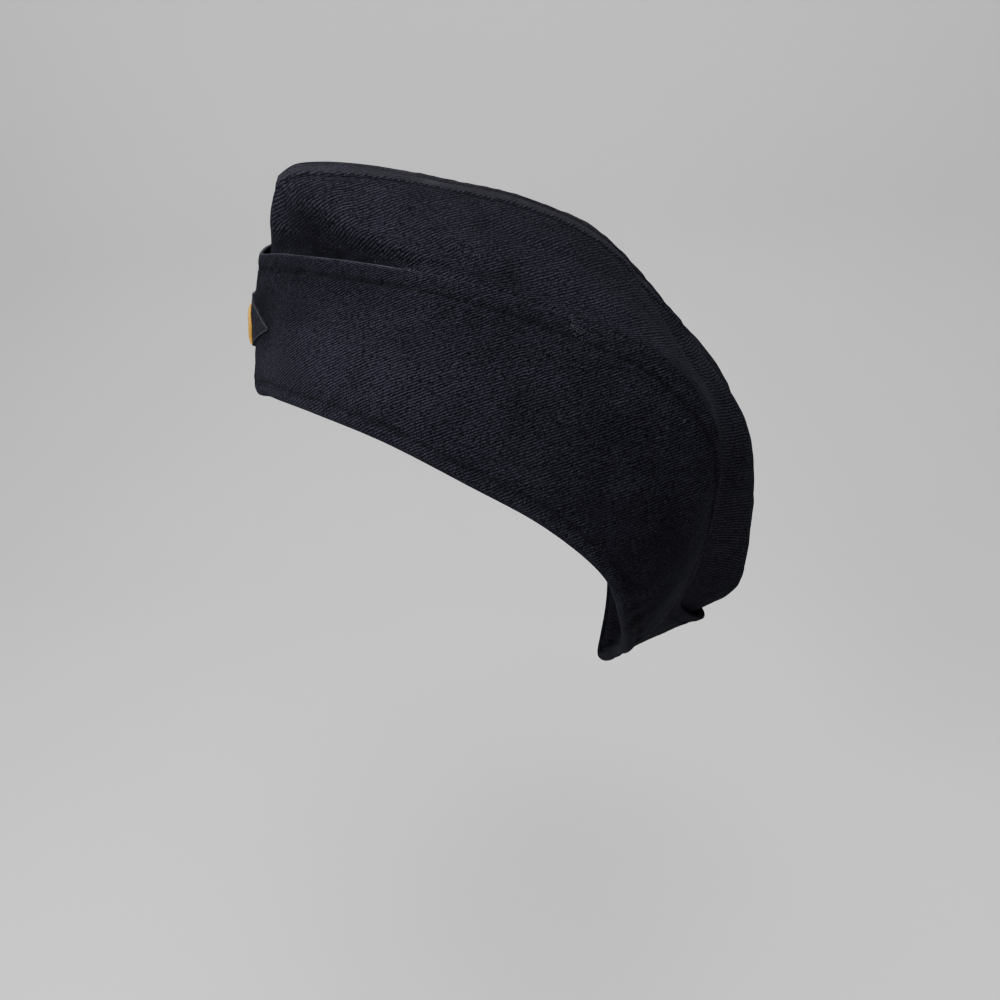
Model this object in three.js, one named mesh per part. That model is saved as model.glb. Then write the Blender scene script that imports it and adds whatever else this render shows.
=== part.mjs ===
// Side cap of navy wool in the form it has when worn.
// Millimetres. The front faces -Y, the wearer's left is +X and +Z is up.
// The origin is the middle of the head opening.
// Each side is a surface over two shares: "station" runs along the cap from the front seam (0) to the
// back seam (1), and "height" runs up the cloth from its lower edge (0) to its upper edge (1).
// A depth is measured from that surface into the cap. The right side is the left one mirrored.

import * as THREE from 'three';

const CLOTH = 2; // wall of the cloth with its lining layer
const GAP = 0.3; // clearance between neighbouring pieces
const FOLD_RISE = 0.8; // how far the folded lower edge rounds up at each side
const COLLAR = 2; // how far the crown stays close above the turn-up's edge
const LAP = 0.5; // share of the crown's height that the turn-up covers
const STATION_COUNT = 40;
const CURTAIN_ROWS = 7;
const CROWN_ROWS = 14;
const HAIR = 1e-3; // share used to measure slopes

// One row for each station, evenly spaced from the front seam to the back seam.
// rim: fold at the head opening. edge: free upper edge of the turn-up. belly: middle of the crown above
// the turn-up. ridge: top seam.
const STATIONS = [
  { rim: [0, -63, 68.5], edge: [0, -51, 120], belly: [0, -44.5, 134], ridge: [0, -39.5, 145.5] },
  { rim: [25, -50.5, 75], edge: [25, -35, 124], belly: [18, -32, 137], ridge: [7.5, -29, 147.5] },
  { rim: [46, -30, 76.5], edge: [41, -9, 124], belly: [27, -7, 136], ridge: [8, -9, 145] },
  { rim: [61, -5, 71.5], edge: [49, 22, 119], belly: [30, 21, 131], ridge: [6, 17, 138.5] },
  { rim: [69, 20, 59.5], edge: [51, 53, 107], belly: [31, 50, 120], ridge: [5, 43, 131] },
  { rim: [72, 45, 43.5], edge: [50, 83, 90], belly: [28, 76, 103.5], ridge: [4.5, 68, 117.5] },
  { rim: [70, 63.5, 21.5], edge: [46, 102, 65], belly: [23, 98, 78], ridge: [4.5, 89, 93] },
  { rim: [61, 69.5, -4.5], edge: [42, 105, 35], belly: [20, 118, 49.5], ridge: [5, 105.5, 68] },
  { rim: [45, 71.5, -30], edge: [36, 99.5, 3], belly: [16, 122.5, 16], ridge: [4.5, 116, 42] },
  { rim: [23, 70, -49], edge: [22, 95.5, -26], belly: [11, 121, -19], ridge: [3.5, 120, 20] },
  { rim: [0, 63.5, -68.5], edge: [0, 109, -46.5], belly: [0, 121, -32], ridge: [0, 120.5, 4] },
];
// Three sizes of the cloth at the same stations. out: how far the turn-up stands out between rim and edge.
// off: how far its edge stands off the crown. dip: how deep the top insert sinks in.
const CLOTH_FORM = [
  { out: 1, off: 3.5, dip: 1 },
  { out: 2, off: 3.5, dip: 4 },
  { out: 4, off: 2.5, dip: 6 },
  { out: 5, off: 0.6, dip: 7 },
  { out: 5.5, off: 0.2, dip: 7 },
  { out: 5.5, off: 0.2, dip: 7 },
  { out: 5, off: 0.2, dip: 7 },
  { out: 4, off: 0.2, dip: 6 },
  { out: 2, off: 0.2, dip: 5 },
  { out: 0, off: 0.5, dip: 3 },
  { out: -1, off: 2, dip: 1 },
];
const RIM_LENGTH = 297; // from the front seam to the back seam
const FRONT_HEIGHT = 53.6; // length of the turn-up's front seam
const CROWN_HEIGHT = 115; // length of a crown panel up the cloth, in its middle

// The insert between the two ridges, from one station to another, sewn in a little below the ridge.
const INSERT = { from: 0.045, to: 0.95, seat: 1.5, steps: 34 };
// The badge sits on the front seam, at this height above the rim.
const BADGE = { rise: 26, halfWidth: 25, up: 19, down: 16, tip: 0.0375, cloth: 1.2, steps: 12, rows: 3 };
const RING = { radius: 6.6, thread: 1.7, raise: 1.7, sides: 7, steps: 28 };
const BOSS = { radius: 3.6, raise: 2.2, steps: 20, levels: 5, lean: 0.46 * Math.PI };

const navy = { color: 0x23242c, roughness: 0.92, metalness: 0 };
const navyDark = { color: 0x1b1c24, roughness: 0.95, metalness: 0 };
const gold = { color: 0xc79a3f, roughness: 0.5, metalness: 0.35 };

const steps = (count) => Array.from({ length: count + 1 }, (_, i) => i / count);
const mirror = (p) => new THREE.Vector3(-p.x, p.y, p.z);

// A smooth line through the rows that runs on into the mirrored half at both seams.
function guide(points) {
  const last = points.length - 1;
  const run = [mirror(points[1]), ...points, mirror(points[last - 1])];
  const curve = new THREE.CatmullRomCurve3(run, false, 'catmullrom', 0.5);
  return (station) => curve.getPoint((1 + station * last) / (last + 2));
}

const line = (column) => guide(STATIONS.map((row) => new THREE.Vector3(...row[column])));

function size(column) {
  const smooth = guide(CLOTH_FORM.map((row) => new THREE.Vector3(0, 0, row[column])));
  return (station) => smooth(station).z;
}

const rim = line('rim');
const edge = line('edge');
const belly = line('belly');
const ridge = line('ridge');
const out = size('out');
const off = size('off');
const dip = size('dip');

// A surface carried on past the seams by its mirror image, so that slopes can be measured there.
function beyond(surface, station, height) {
  if (station < 0) return mirror(surface(-station, height));
  if (station > 1) return mirror(surface(2 - station, height));
  return surface(station, height);
}

// The direction out of the cloth.
function outward(surface, station, height) {
  const low = Math.min(Math.max(0, height - HAIR), 1 - HAIR);
  const along = beyond(surface, station + HAIR, height).sub(beyond(surface, station - HAIR, height));
  const up = surface(station, low + HAIR).sub(surface(station, low));
  return along.cross(up).normalize();
}

// A surface's point moved out of the cloth, or into the cap by a negative distance.
function raised(surface, station, height, distance) {
  return surface(station, height).addScaledVector(outward(surface, station, height), distance);
}

// The point at a depth below a surface. On the two seams it lies beside the middle plane.
function under(surface, station, height, depth) {
  const point = raised(surface, station, height, -depth);
  if (station === 0 || station === 1) point.x = GAP / 2;
  return point;
}

const flatTurnUp = (station, height) => rim(station).lerp(edge(station), height);
const turnUpLength = (station) => rim(station).distanceTo(edge(station));

// The turn-up bellies out between rim and edge.
function turnUp(station, height) {
  return raised(flatTurnUp, station, height, out(station) * 4 * height * (1 - height));
}

// Where the turn-up covers the crown, the crown's wall follows the turn-up's inner face, and stands off it
// at the edge. It comes out above the edge by a collar, and from there runs over the belly to the ridge.
const CROWN_FOOT = CLOTH + FOLD_RISE + GAP;

function covered(station, share) {
  const length = turnUpLength(station);
  const foot = CROWN_FOOT / length;
  const height = foot + (1 + COLLAR / length - foot) * share;
  return raised(turnUp, station, height, -(CLOTH + GAP + off(station) * share * share));
}

const uncovered = new Map();
function crown(station, height) {
  if (height <= LAP) return covered(station, height / LAP);
  if (!uncovered.has(station)) {
    const points = [covered(station, 0.9), covered(station, 1), belly(station), ridge(station)];
    uncovered.set(station, new THREE.CatmullRomCurve3(points, false, 'centripetal'));
  }
  const share = (height - LAP) / (1 - LAP);
  return uncovered.get(station).getPoint((1 + 2 * share) / 3);
}

// The triangles that fill a ring, each wound the way that the ring runs.
function fill(ring) {
  const normal = new THREE.Vector3();
  ring.forEach((point, i) => normal.add(point.clone().cross(ring[(i + 1) % ring.length])));
  normal.normalize();
  const right = ring[1].clone().sub(ring[0]).projectOnPlane(normal).normalize();
  const up = normal.clone().cross(right);
  const flat = ring.map((point) => new THREE.Vector2(point.dot(right), point.dot(up)));
  return THREE.ShapeUtils.triangulateShape(flat, []).map(([a, b, c]) => (
    THREE.ShapeUtils.area([flat[a], flat[b], flat[c]]) > 0 ? [a, b, c] : [a, c, b]
  ));
}

// A closed solid through rings of points. Its ends are filled, or a loop joins its last ring to its first.
function solid(rings, loop = false) {
  const count = rings[0].length;
  const corner = (ring, i) => (ring % rings.length) * count + (i % count);
  const spans = loop ? rings.length : rings.length - 1;
  const faces = [];
  for (let ring = 0; ring < spans; ring += 1) {
    for (let i = 0; i < count; i += 1) {
      faces.push([corner(ring, i), corner(ring + 1, i), corner(ring + 1, i + 1)]);
      faces.push([corner(ring, i), corner(ring + 1, i + 1), corner(ring, i + 1)]);
    }
  }
  if (!loop) {
    faces.push(...fill(rings[0]));
    const turned = fill(rings.at(-1)).map(([a, b, c]) => [a, c, b]);
    faces.push(...turned.map((face) => face.map((i) => corner(spans, i))));
  }
  return closed(rings.flat(), faces);
}

// Turns every face outwards, by the sign of the volume that they enclose.
function closed(points, faces) {
  const volume = faces.reduce((sum, [a, b, c]) => sum + points[a].dot(points[b].clone().cross(points[c])), 0);
  const index = volume > 0 ? faces.flat() : faces.flatMap(([a, b, c]) => [a, c, b]);
  const geometry = new THREE.BufferGeometry();
  geometry.setAttribute('position', new THREE.Float32BufferAttribute(points.flatMap((p) => p.toArray()), 3));
  geometry.setIndex(index);
  geometry.computeVertexNormals();
  return geometry;
}

// A cross-section given as [height, depth] pairs, swept along one side of the cap.
function sweep(side, surface, section) {
  return solid(steps(STATION_COUNT).map((station) => section(station).map(([height, depth]) => {
    const point = under(surface, station, height, depth);
    return side > 0 ? point : mirror(point);
  })));
}

// The crown panel is a plain wall from its foot to the ridge.
function crownSection() {
  const rows = steps(CROWN_ROWS);
  return [...rows.map((row) => [row, 0]), ...rows.toReversed().map((row) => [row, CLOTH])];
}

// The turn-up is a wall, and a fold that runs in below the crown's foot.
function turnUpSection(station) {
  const length = turnUpLength(station);
  const deep = 2 * CLOTH + GAP;
  const floor = CLOTH + FOLD_RISE;
  const wall = steps(CURTAIN_ROWS).map((row) => floor + (length - floor) * row);
  const outside = wall.map((rise) => [rise, 0]);
  const inside = wall.toReversed().map((rise) => [rise, CLOTH]);
  const fold = [[floor, deep], [FOLD_RISE, deep], [0, deep - FOLD_RISE], [0, FOLD_RISE], [FOLD_RISE, 0]];
  return [...outside, ...inside, ...fold].map(([rise, depth]) => [rise / length, depth]);
}

// The lens-shaped insert hangs as a valley between the inner faces of the two crown panels.
function topInsert() {
  const seat = 1 - INSERT.seat / CROWN_HEIGHT;
  const bottom = 1 - (INSERT.seat + CLOTH) / CROWN_HEIGHT;
  const rings = steps(INSERT.steps).map((share) => {
    const station = INSERT.from + (INSERT.to - INSERT.from) * share;
    const top = ridge(station);
    const along = ridge(station + HAIR).sub(ridge(station - HAIR));
    const inward = new THREE.Vector3(0, along.z, -along.y).normalize();
    const upper = under(crown, station, seat, CLOTH + GAP);
    const lower = under(crown, station, bottom, CLOTH + GAP);
    const trough = new THREE.Vector3(0, top.y, top.z).addScaledVector(inward, INSERT.seat + dip(station));
    const keel = trough.clone().addScaledVector(inward, CLOTH);
    return [upper, trough, mirror(upper), mirror(lower), keel, lower];
  });
  return solid(rings);
}

// A point on the front of the turn-up: across from the front seam, up from the rim, clear of the cloth.
function onFront(across, up, clear) {
  const point = raised(turnUp, Math.abs(across) / RIM_LENGTH, up / FRONT_HEIGHT, clear);
  return across < 0 ? mirror(point) : point;
}

function badgePatch() {
  const rings = steps(BADGE.steps * 2).map((share) => {
    const across = BADGE.halfWidth * (2 * share - 1);
    const open = Math.max(1 - Math.abs(across) / BADGE.halfWidth, BADGE.tip);
    const low = BADGE.rise - BADGE.down * open;
    const high = BADGE.rise + BADGE.up * open;
    const heights = steps(BADGE.rows).map((row) => low + (high - low) * row);
    const back = heights.map((height) => onFront(across, height, GAP));
    const front = heights.toReversed().map((height) => onFront(across, height, GAP + BADGE.cloth));
    return [...back, ...front];
  });
  return solid(rings);
}

const PATCH_FACE = GAP + BADGE.cloth + GAP;
const circle = (count) => steps(count).slice(1).map((share) => 2 * Math.PI * share);

// A raised ring of couched thread: a half-round section on a flat foot, swept round the badge's middle.
function badgeRing() {
  const section = steps(RING.sides).map((share) => {
    const turn = Math.PI * share;
    return [RING.radius + RING.thread * Math.cos(turn), RING.raise * Math.sin(turn)];
  });
  const rings = circle(RING.steps).map((turn) => section.map(([radius, raise]) => (
    onFront(radius * Math.cos(turn), BADGE.rise + radius * Math.sin(turn), PATCH_FACE + raise)
  )));
  return solid(rings, true);
}

// The raised centre: a flat-topped dome.
function badgeBoss() {
  const rings = steps(BOSS.levels).map((share) => {
    const lean = BOSS.lean * share;
    const radius = BOSS.radius * Math.cos(lean);
    const raise = PATCH_FACE + BOSS.raise * Math.sin(lean);
    return circle(BOSS.steps).map((turn) => (
      onFront(radius * Math.cos(turn), BADGE.rise + radius * Math.sin(turn), raise)
    ));
  });
  return solid(rings);
}

function piece(name, geometry, finish) {
  const mesh = new THREE.Mesh(geometry, new THREE.MeshStandardMaterial(finish));
  mesh.name = name;
  return mesh;
}

const cap = new THREE.Group();
cap.add(
  piece('crown_left', sweep(1, crown, crownSection), navy),
  piece('crown_right', sweep(-1, crown, crownSection), navy),
  piece('crown_top', topInsert(), navyDark),
  piece('curtain_left', sweep(1, turnUp, turnUpSection), navy),
  piece('curtain_right', sweep(-1, turnUp, turnUpSection), navy),
  piece('badge_patch', badgePatch(), navyDark),
  piece('badge_ring', badgeRing(), gold),
  piece('badge_boss', badgeBoss(), gold),
);

export default cap;
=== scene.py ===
# %% [markdown]
# # A wool side cap, in the form it has when worn
#
# The cap has four panels of navy wool serge: two crown panels that meet in a pair of ridges, and two halves
# of a turn-up that is folded at the head opening. A narrow insert sinks in between the ridges, and a diamond
# of cloth with raised gold embroidery sits on the front seam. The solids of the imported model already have
# the right size and place. This script replaces each of them by finer cloth, with its rolled edges, seams,
# stitches, folds and weave.

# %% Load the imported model
import math

import bmesh
import bpy
import numpy as np
from mathutils import Matrix, Vector


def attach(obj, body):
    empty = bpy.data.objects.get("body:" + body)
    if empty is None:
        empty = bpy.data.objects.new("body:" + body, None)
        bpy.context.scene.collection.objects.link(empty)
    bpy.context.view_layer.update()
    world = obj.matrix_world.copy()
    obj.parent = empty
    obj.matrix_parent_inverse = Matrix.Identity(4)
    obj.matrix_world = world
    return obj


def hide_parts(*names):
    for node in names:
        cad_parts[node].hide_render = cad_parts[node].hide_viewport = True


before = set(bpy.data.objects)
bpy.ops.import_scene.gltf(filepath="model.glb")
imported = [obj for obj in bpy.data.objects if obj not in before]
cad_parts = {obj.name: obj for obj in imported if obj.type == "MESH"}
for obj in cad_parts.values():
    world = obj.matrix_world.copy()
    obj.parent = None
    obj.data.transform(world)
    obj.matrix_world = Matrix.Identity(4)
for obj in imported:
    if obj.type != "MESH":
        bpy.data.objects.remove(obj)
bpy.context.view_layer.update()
MM = 0.001
print("pieces in the frame:", sorted(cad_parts))

# %% [markdown]
# ## The camera
#
# The camera looks at the wearer's left side from a little above. Its place is given in the part's own
# frame, and three angles turn it: the heading swings it towards the front or the back of the cap, the pitch
# tips it down, and the roll tilts the horizon. A Track To constraint could aim it too, but can't tilt the
# horizon, so the script works out the camera's own three axes and writes them into its matrix.

# %% Camera
CAMERA = {"place": (320, 52.3, 192.1), "heading": 4.8, "pitch": 28.94, "roll": 5.34, "lens": 32.69}


def aim_camera(place, heading, pitch, roll, lens):
    heading, pitch, roll = (math.radians(angle) for angle in (heading, pitch, roll))
    level_part = math.cos(pitch)
    ahead = Vector((-level_part * math.cos(heading), -level_part * math.sin(heading), -math.sin(pitch)))
    level = ahead.cross(Vector((0, 0, 1))).normalized()
    lift = level.cross(ahead)
    right = level * math.cos(roll) - lift * math.sin(roll)
    up = lift * math.cos(roll) + level * math.sin(roll)
    camera = bpy.data.objects.new("camera", bpy.data.cameras.new("camera"))
    camera.data.lens = lens
    turned = Matrix((right, up, -ahead)).transposed()
    camera.matrix_world = Matrix.Translation(Vector(place) * MM) @ turned.to_4x4()
    bpy.context.scene.collection.objects.link(camera)
    bpy.context.scene.camera = camera


aim_camera(**CAMERA)

# %% [markdown]
# ## The cloth's guide lines
#
# The form follows four lines that run along one side of the cap, from the front seam (station 0) to the back
# seam (station 1): the rim, where the turn-up is folded, the turn-up's free edge, the belly of the crown and
# its ridge. They could be drawn by hand as curve objects, but a table is easier to compare with a photograph
# and to change. Each row is one cross-section, in millimetres. A smooth curve runs through the rows, and
# carries on into the mirrored half at the seams, so the two halves meet without a kink. The two ridges lie
# closer together here than in the solids, because the photograph shows the slot between them shut.

# %% Table of cross-sections
CROSS_SECTIONS = [
    {"rim": (0, -63, 67.8), "edge": (0, -51, 120.6), "belly": (0, -44.5, 134), "ridge": (0, -39.5, 145.5)},
    {"rim": (25, -50.5, 74.1), "edge": (25, -35, 124.5), "belly": (18, -32, 137), "ridge": (2.3, -29, 148.5)},
    {"rim": (46, -30, 75.5), "edge": (41, -9, 124.3), "belly": (27, -7, 135.4), "ridge": (2.4, -8.6, 146)},
    {"rim": (61, -5, 70.5), "edge": (49, 22, 119), "belly": (30, 21, 130.2), "ridge": (2.3, 17.6, 139.1)},
    {"rim": (69, 20, 58.4), "edge": (51, 53, 107), "belly": (31, 50, 119.2), "ridge": (2.2, 43.8, 131.4)},
    {"rim": (72, 45, 42.2), "edge": (50, 83, 90), "belly": (28, 76, 102.8), "ridge": (2.2, 69, 117.3)},
    {"rim": (70, 63.5, 20.7), "edge": (46, 102, 65), "belly": (23, 98, 77.7), "ridge": (2.2, 90, 92.9)},
    {"rim": (61, 69.5, -4.5), "edge": (42, 105, 35), "belly": (20, 118, 49.5), "ridge": (2.2, 106.6, 68.3)},
    {"rim": (45, 71.5, -30), "edge": (36, 99.5, 3), "belly": (16, 122.5, 16), "ridge": (2.2, 117, 42.1)},
    {"rim": (23, 70, -49), "edge": (22, 95.5, -26), "belly": (11, 121, -19), "ridge": (2.2, 120.3, 20)},
    {"rim": (0, 63.5, -68.5), "edge": (0, 109, -46.5), "belly": (0, 121, -32), "ridge": (0, 120.5, 4)},
]
# out: how far the turn-up bellies out. off: how far its edge stands off the crown. dip: depth of the insert.
CLOTH_FORM = [
    {"out": 1, "off": 1.5, "dip": 1},
    {"out": 2, "off": 2.0, "dip": 4},
    {"out": 4, "off": 1.8, "dip": 6},
    {"out": 5, "off": 0.6, "dip": 7},
    {"out": 5.5, "off": 0.2, "dip": 7},
    {"out": 5.5, "off": 0.2, "dip": 7},
    {"out": 5, "off": 0.2, "dip": 7},
    {"out": 4, "off": 0.2, "dip": 6},
    {"out": 2, "off": 0.2, "dip": 5},
    {"out": 0, "off": 0.5, "dip": 3},
    {"out": -1, "off": 2, "dip": 1},
]
# How thick the cloth is with the layer that backs it, and how far two pieces lie apart, in mm.
CLOTH = 2.0
GAP = 0.3
MIRROR = np.array((-1.0, 1.0, 1.0))


def smooth_line(rows):
    """A curve through the rows, as a function of the station."""
    rows = np.array(rows, float)
    run = np.vstack([rows[1] * MIRROR, rows, rows[-2] * MIRROR])
    spans = len(rows) - 1

    def point(station):
        place = np.clip(station, 0, 1) * spans
        span = np.minimum(place.astype(int), spans - 1)
        t = (place - span)[..., None]
        before, start, end, after = (run[span + i] for i in range(4))
        leave, arrive = (end - before) / 2, (after - start) / 2
        bend = 3 * (end - start) - 2 * leave - arrive
        return start + leave * t + bend * t**2 + (2 * (start - end) + leave + arrive) * t**3

    return point


rim, edge, belly, ridge = (
    smooth_line([row[name] for row in CROSS_SECTIONS]) for name in ("rim", "edge", "belly", "ridge")
)


def smooth_size(name):
    curve = smooth_line([(0, 0, row[name]) for row in CLOTH_FORM])
    return lambda station: curve(station)[..., 2]


turn_up_out, turn_up_off, insert_dip = smooth_size("out"), smooth_size("off"), smooth_size("dip")
for name, line in (("rim", rim), ("edge", edge), ("ridge", ridge)):
    steps = np.linalg.norm(np.diff(line(np.linspace(0, 1, 200)), axis=0), axis=1)
    print("length of the", name, "on one side, in mm:", round(float(steps.sum())))

# %% [markdown]
# ## The turn-up as a surface
#
# The turn-up is a tall band of cloth that is folded at the head opening and lies round the outside of the
# cap. It could be sculpted, or lofted between curves. Here it is a function of the station and of the height
# up the cloth, from 0 to 1: it is ruled from rim to edge, with a belly. A function gives whole grids of
# points at once, and folds, stitches and fibres can ask it later where the cloth lies.

# %% Surface of the turn-up
HAIR = 1e-3


def unit(vectors):
    return vectors / np.linalg.norm(vectors, axis=-1, keepdims=True)


def beyond(surface, station, height):
    """The surface carried on past the seams by its mirror image."""
    past = (station < 0) | (station > 1)
    inside = np.where(station < 0, -station, np.where(station > 1, 2 - station, station))
    points = surface(inside, height)
    return np.where(past[..., None], points * MIRROR, points)


def outward(surface, station, height):
    """The surface's normal, from two steps of a hair's breadth along it."""
    low = np.clip(height - HAIR, 0, 1 - HAIR)
    along = beyond(surface, station + HAIR, height) - beyond(surface, station - HAIR, height)
    up = surface(station, low + HAIR) - surface(station, low)
    return unit(np.cross(along, up))


def raised(surface, station, height, distance):
    """Points that lie a distance in mm outside the surface."""
    return surface(station, height) + outward(surface, station, height) * distance[..., None]


def turn_up_length(station):
    return np.linalg.norm(edge(station) - rim(station), axis=-1)


def flat_turn_up(station, height):
    foot, top = rim(station), edge(station)
    return foot + (top - foot) * height[..., None]


def turn_up(station, height):
    return raised(flat_turn_up, station, height, turn_up_out(station) * 4 * height * (1 - height))


tall = turn_up_length(np.array((0.0, 0.5, 1.0)))
print("turn-up's height at the front, the middle and the back, in mm:", np.round(tall, 1))

# %% [markdown]
# ## The crown as a surface
#
# The crown covers the head: it comes up inside the turn-up, bends over a soft belly and ends in the ridge.
# Its surface follows the turn-up's inner face as far as the edge. An even curve from there over the belly
# to the ridge would swing out where two of its points lie close together. A centripetal curve weighs the
# distances between its points, so it never overshoots.

# %% Surface of the crown
COLLAR = 2.0
LAP = 0.5
CROWN_FOOT = CLOTH + 0.8 + GAP
TUCK = 0.9


def covered_crown(station, share):
    length = turn_up_length(station)
    foot = CROWN_FOOT / length
    height = foot + (1 + COLLAR / length - foot) * share
    return raised(turn_up, station, height, -(CLOTH + GAP + turn_up_off(station) * share**2))


def centripetal(before, start, end, after, t):
    """A curve from start to end whose slopes weigh the distances between its four points."""
    pairs = ((before, start), (start, end), (end, after))
    gaps = [np.maximum(np.sum((b - a) ** 2, axis=-1, keepdims=True) ** 0.25, 1e-6) for a, b in pairs]
    leave = (start - before) / gaps[0] - (end - before) / (gaps[0] + gaps[1]) + (end - start) / gaps[1]
    arrive = (end - start) / gaps[1] - (after - start) / (gaps[1] + gaps[2]) + (after - end) / gaps[2]
    leave, arrive = leave * gaps[1], arrive * gaps[1]
    bend = 3 * (end - start) - 2 * leave - arrive
    return start + leave * t + bend * t**2 + (2 * (start - end) + leave + arrive) * t**3


def crown(station, height):
    whole = np.ones_like(station)
    low = covered_crown(station, np.clip(height / LAP, 0, 1))
    tuck, collar = covered_crown(station, TUCK * whole), covered_crown(station, whole)
    middle, top = belly(station), ridge(station)
    share = 2 * np.clip((height - LAP) / (1 - LAP), 0, 1)[..., None]
    rise = centripetal(tuck, collar, middle, top, np.clip(share, 0, 1))
    close = centripetal(collar, middle, top, 2 * top - middle, np.clip(share - 1, 0, 1))
    return np.where((height <= LAP)[..., None], low, np.where(share <= 1, rise, close))


print("crown's highest point, in mm:", round(float(ridge(np.linspace(0, 1, 200))[:, 2].max()), 1))

# %% [markdown]
# ## The cloth laid flat
#
# Cloth doesn't stretch much, so its weave has to be drawn on the flat piece and not on the form. Blender can
# unwrap a mesh, but then only its corners have a flat place. Here each panel is laid flat as a strip of
# triangles, one after the other, each with the side lengths that it has on the cap. The flat places, in
# millimetres, serve three times: as the UV map of the weave, as the paper on which folds are drawn, and to
# space things evenly.

# %% Lay a strip flat
FLAT_STEPS = 400


def third_corner(a, b, to_a, to_b):
    """The corner of a triangle on the left of the side from a to b, as complex numbers."""
    side = abs(b - a)
    along = (to_a**2 - to_b**2 + side**2) / (2 * side)
    across = math.sqrt(max(to_a**2 - along**2, 0))
    return a + (b - a) / side * complex(along, across)


def lay_flat(surface, low, high, level_at):
    """Flat places of the strip between two heights, turned so that the rows run level at one station."""
    stations = np.linspace(0, 1, FLAT_STEPS + 1)
    lower = surface(stations, np.full_like(stations, low))
    upper = surface(stations, np.full_like(stations, high))
    flat_low, flat_high = [0j], [complex(0, np.linalg.norm(upper[0] - lower[0]))]
    for i in range(FLAT_STEPS):
        width = np.linalg.norm(lower[i + 1] - lower[i])
        slant = np.linalg.norm(lower[i + 1] - upper[i])
        flat_low.append(third_corner(flat_high[i], flat_low[i], slant, width))
        top = np.linalg.norm(upper[i + 1] - upper[i])
        rung = np.linalg.norm(upper[i + 1] - lower[i + 1])
        flat_high.append(third_corner(flat_high[i], flat_low[i + 1], top, rung))
    flat = np.array([flat_low, flat_high])
    at = round(level_at * FLAT_STEPS)
    run = flat[:, min(at + 5, FLAT_STEPS)].mean() - flat[:, max(at - 5, 0)].mean()
    flat = (flat - flat[:, at].mean()) * np.conj(run) / abs(run)

    def place(station, height):
        share = (height - low) / (high - low)
        feet = np.interp(station, stations, flat[0].real) + 1j * np.interp(station, stations, flat[0].imag)
        tops = np.interp(station, stations, flat[1].real) + 1j * np.interp(station, stations, flat[1].imag)
        return feet + (tops - feet) * share

    return place


LEVEL_AT = 0.35
CROWN_FLAT_TO = 0.9
flat_turn_up_place = lay_flat(turn_up, 0.0, 1.0, LEVEL_AT)
flat_crown_place = lay_flat(crown, LAP, CROWN_FLAT_TO, LEVEL_AT)
corners = flat_turn_up_place(np.array((0.0, 1.0, 0.0, 1.0)), np.array((0.0, 0.0, 1.0, 1.0)))
print("turn-up laid flat, corners in mm:", np.round(corners, 1))

# %% [markdown]
# ## Where the weave lies
#
# Steam and wear pull the cloth round the head, so on the real cap the ribs of the weave run off the straight
# lines of the flat piece. A straight pattern would give that away. A pull adds a number of ribs that grows
# along the cloth: each of its rows gives a power of the distance from the back, a power of the height and a
# number of ribs. The weave then comes out one rib wide and at one slant, as the material needs it.

# %% Pull of the weave
RIB = 0.877
GRAIN = np.exp(-1j * math.radians(48.7))
TURN_UP_PULL = {"rib": 1.108, "grain": 36.29, "from": 0.0, "rows": [
    (2, 0, -1.75), (3, 0, -3.43), (1, 1, -7.3), (0, 1, -7.82), (0, 2, -8.81)]}
CROWN_PULL = {"rib": 1.085, "grain": 33.03, "from": LAP, "rows": [
    (2, 0, 5.38), (3, 0, 15.94), (4, 0, 22.17), (1, 1, -6.2), (2, 1, -5.41), (3, 1, -0.24), (2, 2, -19.48)]}


def weave(place, pull, side, station, height):
    """Where the weave lies. Both sides are cut with the face of the cloth outwards."""
    ribs = sum(row[2] * (1 - station) ** row[0] * (height - pull["from"]) ** row[1] for row in pull["rows"])
    grain = np.exp(-1j * math.radians(pull["grain"]))
    spot = (place(station, height) / pull["rib"] + grain * ribs) * RIB * GRAIN / grain
    return spot if side > 0 else -np.conj(spot)


def turn_up_weave(side, station, height):
    return weave(flat_turn_up_place, TURN_UP_PULL, side, station, height)


def crown_weave(side, station, height):
    return weave(flat_crown_place, CROWN_PULL, side, station, height)


print("one rib of the weave, in mm:", RIB)

# %% [markdown]
# ## Folds and dents
#
# Worn cloth keeps soft folds and dents. They could be sculpted, or come from a simulation, but then they
# can't be placed one by one. Here a fold is a bent line, drawn on the flat cloth. Each of its points gives
# a station, a height, a width and a rise, which is negative for a dent. Its cross-section is a soft bell.

# %% Folds on the flat cloth


def bell(distance, width):
    return np.exp(-((distance / width) ** 2))


def smooth_step(value):
    value = np.clip(value, 0, 1)
    return value * value * (3 - 2 * value)


def fold(spot, places, widths, rises):
    """A ridge or a dent along a bent line on the flat cloth, with its own width and rise at each point."""
    total = np.zeros(spot.shape)
    for i in range(len(places) - 1):
        run = places[i + 1] - places[i]
        share = np.clip(((spot - places[i]) * np.conj(run)).real / abs(run) ** 2, 0, 1)
        distance = np.abs(spot - places[i] - run * share)
        width = widths[i] + (widths[i + 1] - widths[i]) * share
        rise = rises[i] + (rises[i + 1] - rises[i]) * share
        part = rise * bell(distance, width)
        total = np.where(np.abs(part) > np.abs(total), part, total)
    return total


def draw_folds(folds, place, spot):
    """Adds up the folds of a table. Each is a line of points (station, height, width, rise)."""
    total = np.zeros(spot.shape)
    for line in folds:
        stations, heights, widths, rises = np.array(line, float).T
        total = total + fold(spot, place(stations, heights), widths, rises)
    return total


# %% [markdown]
# ## Unrest, and what a stitched row does
#
# Between its folds, worn cloth is never quite even. A sum of sines whose lengths and phases come from a
# seeded random generator gives such unrest without repeating itself, and the same in each run. A noise
# texture could do it too, but only in the material, and the stitches have to know where the cloth lies.
# The thread of a seam draws the cloth together, which sinks at the row, rolls up beside it and puckers.

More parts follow.
